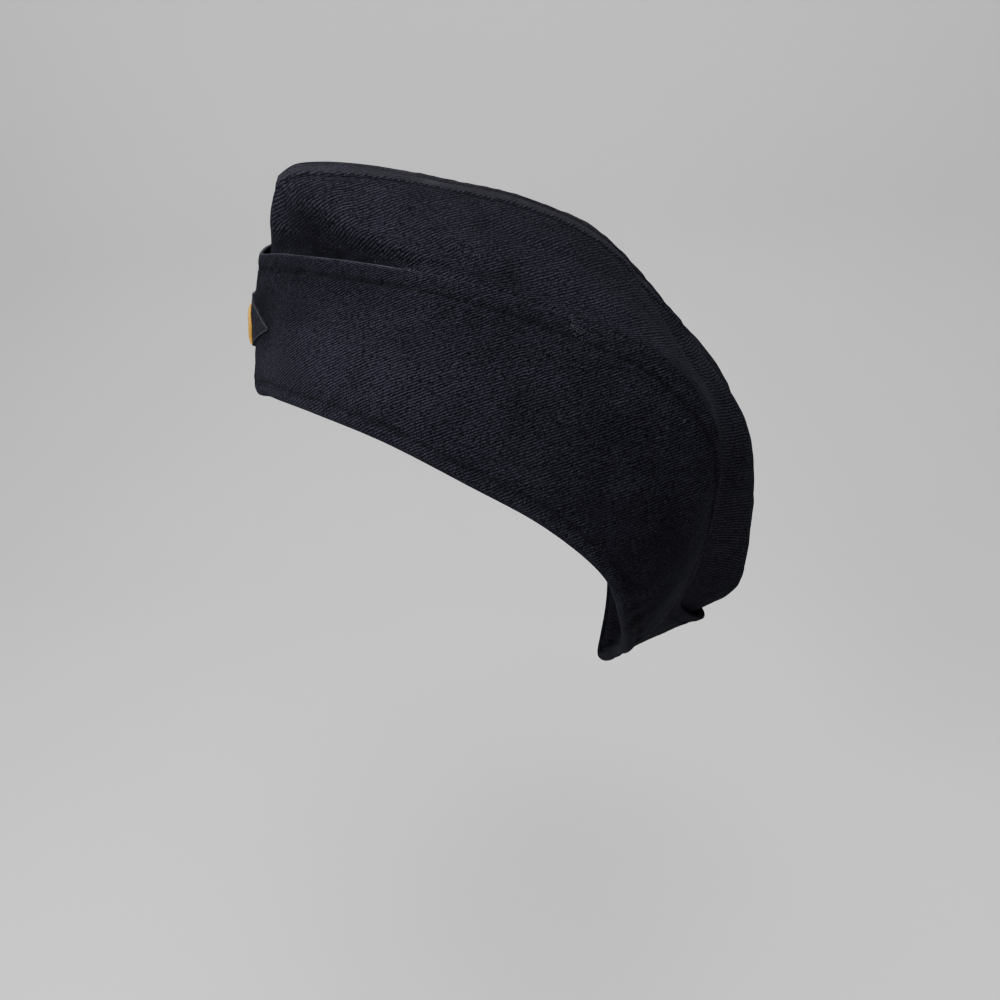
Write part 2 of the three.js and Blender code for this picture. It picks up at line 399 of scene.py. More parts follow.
# %% Unrest and stitched rows
QUICK_UNREST = 0.10


def ripple(distance, shortest, longest, seed, waves=9):
    """Unrest of about -1 to 1 along a line."""
    draw = np.random.default_rng(seed)
    lengths = shortest * (longest / shortest) ** draw.random(waves)
    phases = draw.random(waves) * 2 * np.pi
    total = sum(np.sin(2 * np.pi * distance / length + phase) for length, phase in zip(lengths, phases))
    return total * math.sqrt(2 / waves) / 1.6


def unrest(spot, shortest, longest, seed, waves=24):
    """Unrest of about -1 to 1 over the flat cloth."""
    draw = np.random.default_rng(seed)
    total = 0
    for _ in range(waves):
        length = shortest * (longest / shortest) ** draw.random()
        heading = draw.random() * np.pi
        across = (spot * np.exp(-1j * heading)).real
        total = total + np.sin(2 * np.pi * across / length + draw.random() * 2 * np.pi)
    return total * math.sqrt(2 / waves) / 1.8


def worn(spot, slow, seed):
    """Slow and quick unrest of worn cloth together, in mm."""
    return slow * unrest(spot, 16, 60, seed) + QUICK_UNREST * unrest(spot, 5, 12, seed + 10)


def sewn_row(distance, row, run, seam, seed):
    """How a row of stitches forms the cloth, at a distance from the edge that it runs along, in mm."""
    depth, width = seam["groove"]
    lift, share, spread = seam["roll"]
    pucker, reach, slant, shortest, longest = seam["pucker"]
    total = lift * bell(distance - row * share, spread) - depth * bell(distance - row, width)
    puckers = ripple(run + slant * distance, shortest, longest, seed)
    return total + pucker * puckers * bell(distance - row, reach)


def row_painted_shade(distance, row, seam):
    """Painted shade in the groove of a stitched row: how much darker it is."""
    darker, width = seam["painted_shading"]
    return darker * bell(distance - row, width)


# %% [markdown]
# ## Form of the turn-up
#
# The turn-up's cloth is turned in at the free edge and stitched down, which leaves a flat double band above
# the stitches. The fold at the rim is stitched too. Below the upper row the cloth sinks before it bellies
# out in the middle. A bump in the material could show this, but it would stay flat at the outline and under
# a slanting light, so the mesh itself follows it. The left side follows the photograph, and the right side
# has folds of the same kind.

# %% Folds of the turn-up
EDGE_ROW = 5.6
RIM_ROW = 6.4
# groove: depth and width. roll: height, place as a share of the way to the row, and width. pucker: height,
# reach, slant, and the shortest and longest wave. The last entry is painted shade along the row: how much
# darker it is, and how wide. Lengths are in mm.
EDGE_SEAM = {
    "groove": (0.32, 0.8), "roll": (0.20, 0.5, 2.2), "pucker": (0.17, 3.4, 0.7, 3, 8), "painted_shading": (0.30, 0.9)}
RIM_SEAM = {
    "groove": (0.32, 0.9), "roll": (0.24, 0.5, 2.4), "pucker": (0.20, 3.6, -0.6, 4, 11), "painted_shading": (0.22, 1.0)}
TURN_UP_FOLDS = {
    1: [
        [(0.10, 0.80, 4, -1.1), (0.34, 0.80, 4, -1.1)],
        [(0.15, 0.42, 10, 1.3), (0.24, 0.42, 12, 1.5), (0.33, 0.40, 9, 0.8)],
        [(0.335, 0.50, 5, -0.5), (0.315, 0.22, 5, -0.5)],
        [(0.03, 0.80, 4, -0.8), (0.09, 0.62, 5, -0.8), (0.10, 0.40, 4, -0.3)],
        [(0.47, 0.72, 7, -0.9), (0.60, 0.60, 7, -0.8)],
        [(0.55, 0.35, 8, 0.5), (0.70, 0.30, 8, 0.5)],
    ],
    -1: [
        [(0.08, 0.78, 4, -0.9), (0.30, 0.82, 4, -0.9)],
        [(0.13, 0.45, 10, 1.2), (0.26, 0.45, 11, 1.2)],
        [(0.37, 0.55, 5, -0.6), (0.33, 0.25, 5, -0.6)],
        [(0.50, 0.70, 7, -0.7), (0.62, 0.62, 7, -0.7)],
        [(0.04, 0.20, 6, 0.5), (0.12, 0.33, 6, 0.5)],
    ],
}


def turn_up_form(side, station, rise, length):
    """How far the cloth stands out of the plain surface, in mm."""
    spot = flat_turn_up_place(station, rise / length)
    total = draw_folds(TURN_UP_FOLDS[side], flat_turn_up_place, spot) + worn(spot, 0.28, 11 + side)
    total += sewn_row(length - rise, EDGE_ROW, spot.real, EDGE_SEAM, 31 + side)
    return total + sewn_row(rise, RIM_ROW, spot.real, RIM_SEAM, 41 + side)


print("folds of the turn-up, left and right:", len(TURN_UP_FOLDS[1]), len(TURN_UP_FOLDS[-1]))

# %% [markdown]
# ## Form of the crown
#
# The crown stands free above the turn-up. At the front it tucks in behind the turn-up's edge, so a dark
# hollow shows there, and a soft fold runs back from it and meets the edge. Below the ridge a row of stitches
# holds the seam, which makes the ridge a rolled bead. The tools are the same as for the turn-up. Only a
# hollow reaches down behind the turn-up's edge, because the rest of the covered cloth lies smooth.

# %% Folds of the crown
RIDGE_ROW = 5.2
RIDGE_SEAM = {
    "groove": (0.34, 0.8), "roll": (0.40, 0.42, 2.3), "pucker": (0.15, 3.4, -0.5, 4, 11), "painted_shading": (0.30, 0.8)}
CROWN_FOLDS = {
    1: [
        [(0.07, 0.74, 6, -2.6), (0.12, 0.62, 8, -4.4), (0.17, 0.53, 6, -3.6), (0.25, 0.50, 3.5, -1.6)],
        [(0.03, 0.54, 5, -0.7), (0.08, 0.52, 6, -2.6)],
        [(0.09, 0.92, 5, 0.5), (0.15, 0.80, 5, 1.5), (0.20, 0.64, 4, 1.7), (0.26, 0.575, 3, 1.2),
         (0.32, 0.51, 2, 0.6)],
        [(0.34, 0.80, 4, -0.8), (0.38, 0.78, 4, -0.7), (0.48, 0.80, 3, -0.4)],
        [(0.30, 0.66, 5, 0.7), (0.34, 0.62, 5, 0.7)],
        [(0.55, 0.97, 3.5, -0.9), (0.60, 0.72, 3.5, -0.9)],
        [(0.36, 0.56, 3, -0.5), (0.42, 0.53, 3, -0.5)],
    ],
    -1: [
        [(0.06, 0.72, 6, -2.2), (0.12, 0.60, 7, -3.6), (0.18, 0.52, 5, -2.8), (0.25, 0.50, 3, -1.2)],
        [(0.08, 0.90, 5, 0.5), (0.16, 0.78, 5, 1.3), (0.22, 0.62, 4, 1.4), (0.31, 0.53, 2.4, 0.7)],
        [(0.42, 0.80, 4, -0.7), (0.50, 0.76, 4, -0.7)],
        [(0.60, 0.94, 3.5, -0.8), (0.64, 0.70, 3.5, -0.8)],
    ],
}


def crown_form(side, station, height, below_ridge):
    """How far the cloth stands out of the plain surface, in mm."""
    spot = flat_crown_place(station, height)
    seen = smooth_step((height - LAP) / 0.06)
    sunk = smooth_step((height - LAP + 0.16) / 0.10)
    calm_top = smooth_step(below_ridge / 3)
    folds = draw_folds(CROWN_FOLDS[side], flat_crown_place, spot)
    hollow = np.minimum(folds, 0)
    total = folds - hollow + worn(spot, 0.30, 51 + side)
    total += sewn_row(below_ridge, RIDGE_ROW, spot.real, RIDGE_SEAM, 71 + side)
    return total * seen * calm_top + hollow * sunk


print("folds of the crown, left and right:", len(CROWN_FOLDS[1]), len(CROWN_FOLDS[-1]))

# %% [markdown]
# ## Painted light and shade
#
# Each panel gets a number on its points that paints light and shade into the wool: painted highlights on the
# crests, the bulge of the turn-up, its free edge and the bands beside the rim and the ridge, and painted
# shade in hollows, in stitched rows, at the front end and towards the back. A noise in the material would put
# light and dark anywhere; this number follows the folds. The material reads it: 0 is plain cloth, below 0 it
# is painted darker, above 0.55 fibres cover the weave, and above 0.8 it is painted pale.

# %% Painted light and shade of the panels
# Lines of (station, height, width, amount): above 0 a painted highlight, below 0 painted shade.
TURN_UP_PAINTED_SHADING = [
    [(0.08, 0.16, 9, 0.36), (0.16, 0.22, 12, 0.50), (0.25, 0.36, 12, 0.44), (0.32, 0.42, 12, 0.40),
     (0.37, 0.50, 10, 0.08), (0.43, 0.52, 12, -0.14)],
    [(0.50, 0.15, 8, -0.10), (0.60, 0.15, 8, -0.14)],
    [(0.0, 0.55, 9, -0.44), (0.05, 0.62, 9, -0.52), (0.10, 0.68, 8, -0.42), (0.16, 0.72, 7, -0.20)],
    [(0.02, 0.94, 5, -0.20), (0.14, 0.94, 5, -0.32), (0.24, 0.92, 4, -0.26)],
    [(0.50, 0.40, 14, -0.20), (0.62, 0.32, 18, -0.40), (0.75, 0.38, 20, -0.46), (0.90, 0.45, 22, -0.46),
     (1.0, 0.5, 24, -0.55)],
]
CROWN_PAINTED_SHADING = [
    [(0.04, 0.75, 6, -0.22), (0.10, 0.66, 8, -0.42), (0.14, 0.57, 9, -0.46), (0.22, 0.51, 4, -0.30)],
    [(0.03, 0.53, 6, -0.40), (0.14, 0.50, 4, -0.40), (0.24, 0.49, 2.5, -0.30)],
    [(0.22, 0.74, 8, 0.14), (0.27, 0.74, 7, 0.08), (0.345, 0.79, 7, -0.06), (0.41, 0.70, 8, 0.20),
     (0.46, 0.60, 9, 0.26), (0.54, 0.56, 9, 0.20), (0.64, 0.60, 9, 0.08)],
    [(0.88, 0.55, 8, -0.20), (0.96, 0.60, 8, -0.20)],
    [(0.80, 0.72, 12, 0.02), (0.88, 0.72, 16, -0.18), (1.0, 0.72, 20, -0.52)],
]
# The free edge gets a painted highlight as far back as the first station, and a share of that as far as the
# second. Behind the third it gets painted shade, darker than the cloth.
EDGE_HIGHLIGHT_TO, FAINT_TO, DARK_FROM = 0.27, 0.46, 0.5
EDGE_HIGHLIGHT, FAINT_SHARE, EDGE_PAINTED_SHADE = 1.3, 0.35, 0.3
EDGE_HIGHLIGHT_WIDTH = 0.55
# The bands beside the rim and the ridge get painted light too. The ridge's is brightest at one station.
RIM_PAINTED_LIGHT = 0.14
RIDGE_HIGHLIGHT, RIDGE_HIGHLIGHT_MORE, RIDGE_BRIGHTEST, RIDGE_HIGHLIGHT_LESS = 0.70, 0.10, 0.24, 0.5


def panel_painted_shading(rows, place, spot, seed):
    """The lines of a table, with a little unrest."""
    return draw_folds(rows, place, spot) + 0.09 * unrest(spot, 9, 34, seed)


# Painted light and shade of the turn-up: the table's lines, painted shade in the stitched rows, painted light
# beside the rim, and along the free edge a painted highlight in front and painted shade behind.
def turn_up_painted_shading(side, station, rise, length):
    below_edge = length - rise
    painted_shading = panel_painted_shading(TURN_UP_PAINTED_SHADING, flat_turn_up_place, flat_turn_up_place(station, rise / length), 101 + side)
    painted_shading -= row_painted_shade(below_edge, EDGE_ROW, EDGE_SEAM) + row_painted_shade(rise, RIM_ROW, RIM_SEAM)
    # Painted light on the band beside the rim.
    painted_shading += RIM_PAINTED_LIGHT * smooth_step((RIM_ROW - 1.2 - rise) / 1.5) * smooth_step((0.75 - station) / 0.1)
    # A painted highlight along the free edge at the front, and painted shade along it at the back.
    edge_highlight = smooth_step((EDGE_HIGHLIGHT_TO - station) / 0.05) + FAINT_SHARE * smooth_step((FAINT_TO - station) / 0.05)
    edge_shade = EDGE_PAINTED_SHADE * smooth_step((station - DARK_FROM) / 0.1)
    return painted_shading + (np.minimum(EDGE_HIGHLIGHT * edge_highlight, EDGE_HIGHLIGHT) - edge_shade) * bell(below_edge, EDGE_HIGHLIGHT_WIDTH)


# Painted light and shade of the crown: the table's lines, a painted highlight beside the ridge, and painted
# shade in the ridge's stitched row.
def crown_painted_shading(side, station, height, below_ridge):
    spot = flat_crown_place(station, np.clip(height, LAP, 1))
    painted_shading = panel_painted_shading(CROWN_PAINTED_SHADING, flat_crown_place, spot, 111 + side)
    # Painted highlight on the band beside the ridge, weaker towards the back.
    ridge_highlight = RIDGE_HIGHLIGHT + RIDGE_HIGHLIGHT_MORE * bell(station - RIDGE_BRIGHTEST, 0.16)
    ridge_highlight = ridge_highlight - RIDGE_HIGHLIGHT_LESS * smooth_step((station - 0.5) / 0.3)
    painted_shading += smooth_step((RIDGE_ROW - 0.3 - below_ridge) / 1.0) * ridge_highlight
    return painted_shading - row_painted_shade(below_ridge, RIDGE_ROW, RIDGE_SEAM)


def set_painted_shading(piece, painted_shading):
    layer = piece.data.attributes.new("painted_shading", "FLOAT", "POINT")
    layer.data.foreach_set("value", painted_shading.astype(np.float32).ravel())


# Counts the lines of painted highlight and painted shade in both tables.
print("lines of worn and of dark nap:", len(TURN_UP_PAINTED_SHADING) + len(CROWN_PAINTED_SHADING))

# %% [markdown]
# ## From points to a mesh
#
# Blender builds a mesh from a list of points and a list of faces, each a list of point numbers. Points that
# come in rings, one after the other, make the faces easy to count out. A closed mesh needs a face over each
# end, and its faces have to point outwards, which the sign of its volume tells.

# %% Points, faces and objects


def add_object(name, mesh):
    piece = bpy.data.objects.new(name, mesh)
    bpy.context.scene.collection.objects.link(piece)
    return piece


def mesh_from(name, points, faces, spots=None):
    """A smooth mesh in metres from points in mm. spots are the flat places of its points, in mm."""
    mesh = bpy.data.meshes.new(name)
    mesh.from_pydata((points * MM).tolist(), [], faces)
    mesh.update()
    mesh.shade_smooth()
    if spots is not None:
        layer = mesh.uv_layers.new(name="flat")
        corners = np.zeros(len(mesh.loops), np.int32)
        mesh.loops.foreach_get("vertex_index", corners)
        chosen = spots[corners] * MM
        layer.data.foreach_set("uv", np.stack([chosen.real, chosen.imag], axis=1).astype(np.float32).ravel())
    return mesh


def grid_faces(rings, count):
    """Quads between closed rings of points."""
    ring, spot = np.meshgrid(np.arange(rings - 1), np.arange(count), indexing="ij")
    after = (spot + 1) % count
    first, second = ring * count, (ring + 1) * count
    corners = (first + spot, second + spot, second + after, first + after)
    return np.stack(corners, axis=-1).reshape(-1, 4).tolist()


def tube_faces(rings, count):
    """The same, with a face over each end."""
    last = (rings - 1) * count
    return grid_faces(rings, count) + [list(range(count)), [last + i for i in reversed(range(count))]]


def closed_piece(name, points, faces, spots=None, material=None):
    """An object with a closed mesh, whose faces are turned outwards by the sign of its volume."""
    piece = add_object(name, mesh_from(name, points, faces, spots))
    work = bmesh.new()
    work.from_mesh(piece.data)
    if work.calc_volume(signed=True) < 0:
        bmesh.ops.reverse_faces(work, faces=work.faces)
    work.to_mesh(piece.data)
    work.free()
    if material:
        piece.data.materials.append(material)
    return piece


# %% [markdown]
# ## Building a panel
#
# A panel is a closed cross-section, swept from seam to seam: up the outer face, round the free edge, down
# the inner face and back. A Solidify modifier could thicken a sheet, but its edges would be square. Towards
# a seam the two faces come together in a round nose, so the panels meet in a groove, as cloth does where it
# is sewn and pressed open. The panel's flat places become its UV map.

# %% Panel helpers
NOSE = 1.0
NOSE_CLOTH = 0.12
SEWN = 0.03
SEAM_CALM = 4
COLUMN_STEP = 0.85
SIDE_NAMES = {1: "left", -1: "right"}


def on_side(side, vectors):
    """Points or directions of the left side, mirrored where the side is the right one."""
    return vectors * (MIRROR if side < 0 else 1)


def seam_stations(surface, height):
    """Stations at even distances along the cloth, with closer ones at both seams."""
    fine = np.linspace(0, 1, 2001)
    points = surface(fine, np.full_like(fine, height))
    run = np.concatenate([[0], np.cumsum(np.linalg.norm(np.diff(points, axis=0), axis=1))])
    total = run[-1]
    near = NOSE * (1 - np.cos(np.linspace(0, np.pi / 2, 7)))
    middle = np.linspace(near[-1], total - near[-1], round((total - 2 * near[-1]) / COLUMN_STEP))
    distances = np.concatenate([near[:-1], middle, (total - near[:-1])[::-1]])
    return np.interp(distances, run, fine), np.minimum(distances, total - distances)


def rounded(share):
    """A quarter circle, from 0 at 0 to 1 at 1."""
    return np.sqrt(np.clip(1 - (1 - np.clip(share, 0, 1)) ** 2, 0, 1))


def nose_depth(depth, thickness, to_seam):
    """Draws the two faces together towards a seam."""
    open_share = NOSE_CLOTH + (1 - NOSE_CLOTH) * rounded(to_seam / NOSE)
    return thickness / 2 + (depth - thickness / 2) * open_share


def calm_at_seam(to_seam):
    """The share of the form that is left near a seam, where both panels have to meet."""
    return smooth_step(to_seam / SEAM_CALM + 0.25)


def beside_seam(points, to_seam):
    """Lets the two halves meet in the middle plane, where they are sewn together."""
    points[..., 0] -= SEWN * bell(to_seam, 0.5)
    points[..., 0] = np.maximum(points[..., 0], -SEWN)
    return points


def panel(name, side, grid, spots):
    """A closed panel from rings of points, mirrored where the side is the right one."""
    rings, count = grid.shape[:2]
    return closed_piece(name, on_side(side, grid.reshape(-1, 3)), tube_faces(rings, count), spots.ravel())


print("points along a panel lie", COLUMN_STEP, "mm apart")

# %% [markdown]
# ## Turn-up panels
#
# The cross-section is written as three columns: how far up the cloth a point lies, how deep it is below the
# outer face, and the height that its weave takes. The wall thins towards the free edge, where the cloth is
# only turned once, and the fold at the rim is a half circle round the crown's foot. A bevel could round the
# edges too, but then the weave wouldn't run over them.

# %% Turn-up panels
EDGE_CLOTH = 1.3
THINS_OVER = 7.0
HEM_TOP = CROWN_FOOT - GAP
FOLD_RADIUS = (2 * CLOTH + GAP) / 2
OUTER_ROWS, INNER_ROWS = 92, 26
ARC = np.linspace(0, 1, 8)


def wall_depth(below_edge):
    """Thickness of the turn-up's wall, thinner towards the free edge."""
    return EDGE_CLOTH + (CLOTH - EDGE_CLOTH) * smooth_step(below_edge / THINS_OVER)


def turn_up_section(length):
    """Rows of (rise, depth, weave rise) round the closed cross-section, in mm."""
    radius = EDGE_CLOTH / 2
    top = length - radius
    rows = [(rise, 0, rise) for rise in np.linspace(FOLD_RADIUS, top, OUTER_ROWS)[:-1]]
    rows += [(length - radius * (1 - math.sin(math.pi * t)), radius * (1 - math.cos(math.pi * t)),
              top + math.pi * radius * t) for t in ARC]
    rows += [(rise, wall_depth(length - rise), rise) for rise in np.linspace(top, HEM_TOP, INNER_ROWS)[1:]]
    rows += [(HEM_TOP, 2 * FOLD_RADIUS, 0)]
    rows += [(FOLD_RADIUS * (1 - math.sin(math.pi * t)), FOLD_RADIUS * (1 + math.cos(math.pi * t)),
              -math.pi * FOLD_RADIUS * (1 - t)) for t in ARC[:-1]]
    return np.array(rows)


def turn_up_panel(side):
    stations, to_seam = seam_stations(turn_up, 0.5)
    to_seam = to_seam[:, None]
    lengths = turn_up_length(stations)
    section = np.array([turn_up_section(length) for length in lengths])
    rise, depth, weave_rise = section[..., 0], section[..., 1], section[..., 2]
    station, length = (np.broadcast_to(v[:, None], rise.shape) for v in (stations, lengths))
    seen_rise = np.clip(rise, 0, length)
    stand = turn_up_form(side, station, seen_rise, length)
    stand = stand * smooth_step((rise - 0.2) / 3) * calm_at_seam(to_seam)
    points = raised(turn_up, station, rise / length, stand - nose_depth(depth, CLOTH, to_seam))
    spots = turn_up_weave(side, station, weave_rise / length)
    piece = panel("turn_up_" + SIDE_NAMES[side], side, beside_seam(points, to_seam), spots)
    set_painted_shading(piece, turn_up_painted_shading(side, station, seen_rise, length))
    print(piece.name, "faces:", len(piece.data.polygons))
    return piece


turn_ups = {side: turn_up_panel(side) for side in (1, -1)}

# %% [markdown]
# ## Crown panels
#
# The crown panels are made as the turn-up is. The part that the turn-up covers is smooth and gets few rows.
# The ridge is a round bead as thick as the wall. Its inner face is the one that a look into the cap shows.

# %% Crown panels
COVERED_ROWS = 12
CROWN_ROWS = 96
INNER_CROWN_ROWS, INNER_COVERED_ROWS = 34, 8
BEAD = CLOTH / 2
BEAD_REACH = 4
SHOULDER = {"rise": 1.1, "station": 0.065, "width": 0.03, "reach": 9}


def ridge_drop(station, below_ridge):
    """Makes room for the bead under the ridge. At the front the ridge stands up in a shoulder instead."""
    shoulder = SHOULDER["rise"] * bell(station - SHOULDER["station"], SHOULDER["width"])
    return BEAD * smooth_step(1 - below_ridge / BEAD_REACH) - shoulder * smooth_step(
        1 - below_ridge / SHOULDER["reach"])


def ridge_direction(station):
    """The way the crown's cloth runs as it reaches the ridge."""
    return unit(crown(station, np.ones_like(station)) - crown(station, np.full_like(station, 0.99)))


def crown_lengths(stations):
    """Length of the free part of the crown at each station, in mm."""
    heights = np.linspace(LAP, 1, 40)
    station, height = np.meshgrid(stations, heights, indexing="ij")
    steps = np.linalg.norm(np.diff(crown(station, height), axis=1), axis=-1)
    return steps.sum(axis=1)


def crown_section():
    """Height, depth and lift over the ridge of the points round the closed cross-section."""
    hidden = np.linspace(0, LAP, COVERED_ROWS)[:-1]
    outer = np.concatenate([hidden, LAP + (1 - LAP) * np.linspace(0, 1, CROWN_ROWS)])
    inner = np.concatenate([np.linspace(1, LAP, INNER_CROWN_ROWS)[1:],
                            np.linspace(LAP, 0, INNER_COVERED_ROWS)[1:]])
    arc = np.pi * ARC[1:-1]
    height = np.concatenate([outer, np.ones(len(arc)), inner])
    depth = np.concatenate([np.zeros(len(outer)), BEAD * (1 - np.cos(arc)), np.full(len(inner), CLOTH)])
    lift = np.concatenate([np.zeros(len(outer)), BEAD * np.sin(arc), np.zeros(len(inner))])
    over = np.concatenate([np.zeros(len(outer)), BEAD * arc, np.full(len(inner), BEAD * np.pi)])
    return len(outer), height, depth, lift, over


def crown_panel(side):
    stations, to_seam = seam_stations(crown, 0.8)
    to_seam = to_seam[:, None]
    lengths = crown_lengths(stations)[:, None]
    outer, heights, depth, lift, over = crown_section()
    station, height = np.meshgrid(stations, heights, indexing="ij")
    below = np.clip((1 - height) / (1 - LAP), 0, 1) * lengths
    stand = crown_form(side, station, height, below) * calm_at_seam(to_seam)
    points = raised(crown, station, height, stand - nose_depth(depth, CLOTH, to_seam))
    points = points + ridge_direction(station) * (lift - ridge_drop(station, below))[..., None]
    past_ridge = (1 - LAP) * over / lengths + np.where(np.arange(len(over)) < outer, 0, 1 - height)
    spots = crown_weave(side, station, np.where(past_ridge > 0, 1, height) + past_ridge)
    piece = panel("crown_panel_" + SIDE_NAMES[side], side, beside_seam(points, to_seam), spots)
    set_painted_shading(piece, crown_painted_shading(side, station, height, below))
    print(piece.name, "faces:", len(piece.data.polygons))
    return piece


crowns = {side: crown_panel(side) for side in (1, -1)}

# %% [markdown]
# ## The insert between the ridges
#
# A lens-shaped strip joins the two ridges and hangs between them as a valley. It is a grid across the cap,
# from one crown panel's inner face to the other's, with a cosine for its sag. A simulated strip would hang
# so too, but the two ridges press it, and a function keeps it clear of them.

# %% Top insert
INSERT_FROM, INSERT_TO, INSERT_SEAT = 0.03, 0.998, 1.5
INSERT_COLUMNS, INSERT_ROWS = 260, 28
INSERT_LENGTH, INSERT_HALF = 250, 9


def insert_panel():
    fine = np.linspace(INSERT_FROM, INSERT_TO, INSERT_COLUMNS)
    down = 1 - (1 - LAP) * INSERT_SEAT / crown_lengths(fine)
    upper = raised(crown, fine, down, np.full_like(fine, -(CLOTH + 0.1)))
    top = ridge(fine)
    along = np.gradient(top, axis=0)
    inward = unit(np.stack([np.zeros_like(fine), along[:, 2], -along[:, 1]], axis=1))
    middle = top * (0, 1, 1) + inward * (INSERT_SEAT + insert_dip(fine))[:, None]
    share = np.linspace(-1, 1, INSERT_ROWS)
    rows = []
    for t in share:
        seat = upper * (MIRROR if t < 0 else 1)
        across = seat + (middle - seat) * math.cos(math.pi * t / 2) ** 1.3
        across[:, 0] = upper[:, 0] * t
        rows.append(across)
    face = np.stack(rows, axis=1)
    uneven = 0.25 * unrest((fine * INSERT_LENGTH)[:, None] + 1j * share * 8, 8, 30, 81)
    face += inward[:, None, :] * uneven[..., None]
    ring = np.concatenate([face, (face + inward[:, None, :] * CLOTH)[:, ::-1]], axis=1)
    run = np.concatenate([[0], np.cumsum(np.linalg.norm(np.diff(top, axis=0), axis=1))])
    flat_row = np.concatenate([share, share[::-1]]) * INSERT_HALF
    return panel("top_insert", 1, ring, run[:, None] + 1j * flat_row[None])


insert = insert_panel()
print(insert.name, "faces:", len(insert.data.polygons))

# %% [markdown]
# ## Wool serge
#
# Serge is a two-up, two-down twill: each yarn passes over two others and under the next two, one step
# further on in every row, so the floats line up in fine slanting ribs. A picture of cloth would repeat and
# show its joins. This material works the weave out from the flat places: it counts yarns both ways, and
# their difference, modulo four, says which yarn is on top. The result drives a bump and the colour, because
# the grooves between the ribs are in shade. Wool is matt, so the roughness is high and the gloss is faint.

# %% Node helpers
YARN = RIB * MM / (2 * math.sqrt(2))


class Graph:
    """Adds nodes to a material's tree, with sockets or numbers as inputs."""

    def __init__(self, name):
        self.material = bpy.data.materials.new(name)
        self.material.use_nodes = True
        self.tree = self.material.node_tree
        self.surface = self.tree.nodes["Principled BSDF"]

    def connect(self, value, socket):
        if isinstance(value, bpy.types.NodeSocket):
            self.tree.links.new(value, socket)
        else:
            socket.default_value = value

    def node(self, kind, settings=None, **inputs):
        made = self.tree.nodes.new(kind)
        for key, value in (settings or {}).items():
            setattr(made, key, value)
        for key, value in inputs.items():
            self.connect(value, made.inputs[key.replace("_", " ")])
        return made

    def math(self, operation, a, b=0.0, clamp=False):
        made = self.tree.nodes.new("ShaderNodeMath")
        made.operation = operation
        made.use_clamp = clamp
        self.connect(a, made.inputs[0])
        self.connect(b, made.inputs[1])
        return made.outputs[0]

    def mix(self, share, a, b):
        """Mixes two colours."""
        made = self.tree.nodes.new("ShaderNodeMix")
        made.data_type = "RGBA"
        for value, socket in ((share, made.inputs[0]), (a, made.inputs[6]), (b, made.inputs[7])):
            self.connect(value, socket)
        return made.outputs[2]

    def range(self, value, low, high, to_low=0.0, to_high=1.0):
        made = self.node("ShaderNodeMapRange", Value=value, From_Min=low, From_Max=high, To_Min=to_low,
                         To_Max=to_high)
        return made.outputs[0]

    def noise(self, where, scale, detail=2.0, roughness=0.5):
        made = self.node("ShaderNodeTexNoise", Vector=where, Scale=scale, Detail=detail, Roughness=roughness)
        return made.outputs["Fac"]

    def finish(self, **inputs):
        for key, value in inputs.items():
            self.connect(value, self.surface.inputs[key.replace("_", " ")])
        return self.material


# %% Wool serge material
# The ribs run along the diagonal of the yarns. LEAN turns the weave, in degrees, so that they follow GRAIN.
LEAN = 3.7
WANDER = 0.0010
FELT_HEIGHT = 0.27
# The felted and the pale colour are painted highlights, mixed in where the painted value is high. The speck
# colour is the wool's own.
FELTED_HIGHLIGHT, PALE, SPECK = (0.0215, 0.0208, 0.0215, 1), (0.075, 0.077, 0.092, 1), (0.060, 0.063, 0.078, 1)


def weave_height(g, painted_shading):
    """Relief of the twill on the flat places, from 0 to about 1, and level where the fibres cover it."""
    flat = g.node("ShaderNodeUVMap", {"uv_map": "flat"}).outputs[0]
    wander = g.node("ShaderNodeTexNoise", Vector=flat, Scale=300.0, Detail=3.0).outputs["Color"]
    pushed = g.node("ShaderNodeVectorMath", {"operation": "MULTIPLY_ADD"})
    for socket, value in zip(pushed.inputs, (wander, (WANDER, WANDER, 0), flat)):
        g.connect(value, socket)
    turned = g.node("ShaderNodeVectorRotate", {"rotation_type": "Z_AXIS"}, Vector=pushed.outputs[0],
                    Angle=math.radians(LEAN)).outputs[0]
    axes = g.node("ShaderNodeSeparateXYZ", Vector=turned).outputs
    weft, warp = (g.math("DIVIDE", axis, YARN) for axis in (axes[0], axes[1]))
    rib = g.math("COSINE", g.math("MULTIPLY", g.math("SUBTRACT", weft, warp), math.pi / 2))
    yarn_round = g.math("ABSOLUTE", g.math("SINE", g.math("MULTIPLY", weft, math.pi)))
    grain = g.node("ShaderNodeMapping", {"vector_type": "POINT"}, Vector=turned, Rotation=(0, 0, math.pi / 4),
                   Scale=(1.0, 0.45, 1.0)).outputs[0]
    slub = g.range(g.noise(grain, 1500.0, 2.0, 0.6), 0.30, 0.70)
    height = g.math("MULTIPLY", g.range(rib, -0.65, 0.85), g.range(yarn_round, 0.0, 0.8, 0.65, 1.0))
    height = g.math("MULTIPLY", height, g.range(slub, 0.0, 1.0, 0.03, 1.08))
    # Fibres cover the weave where the painted highlight is strong and where the painted shade is deep.
    felted = g.math("MAXIMUM", g.range(painted_shading, 0.55, 0.72, 0.0, 0.7), g.range(painted_shading, -0.5, -0.2, 0.6, 0.0))
    return g.math("ADD", g.math("MULTIPLY", height, g.math("SUBTRACT", 1.0, felted)),
                  g.math("MULTIPLY", felted, FELT_HEIGHT))


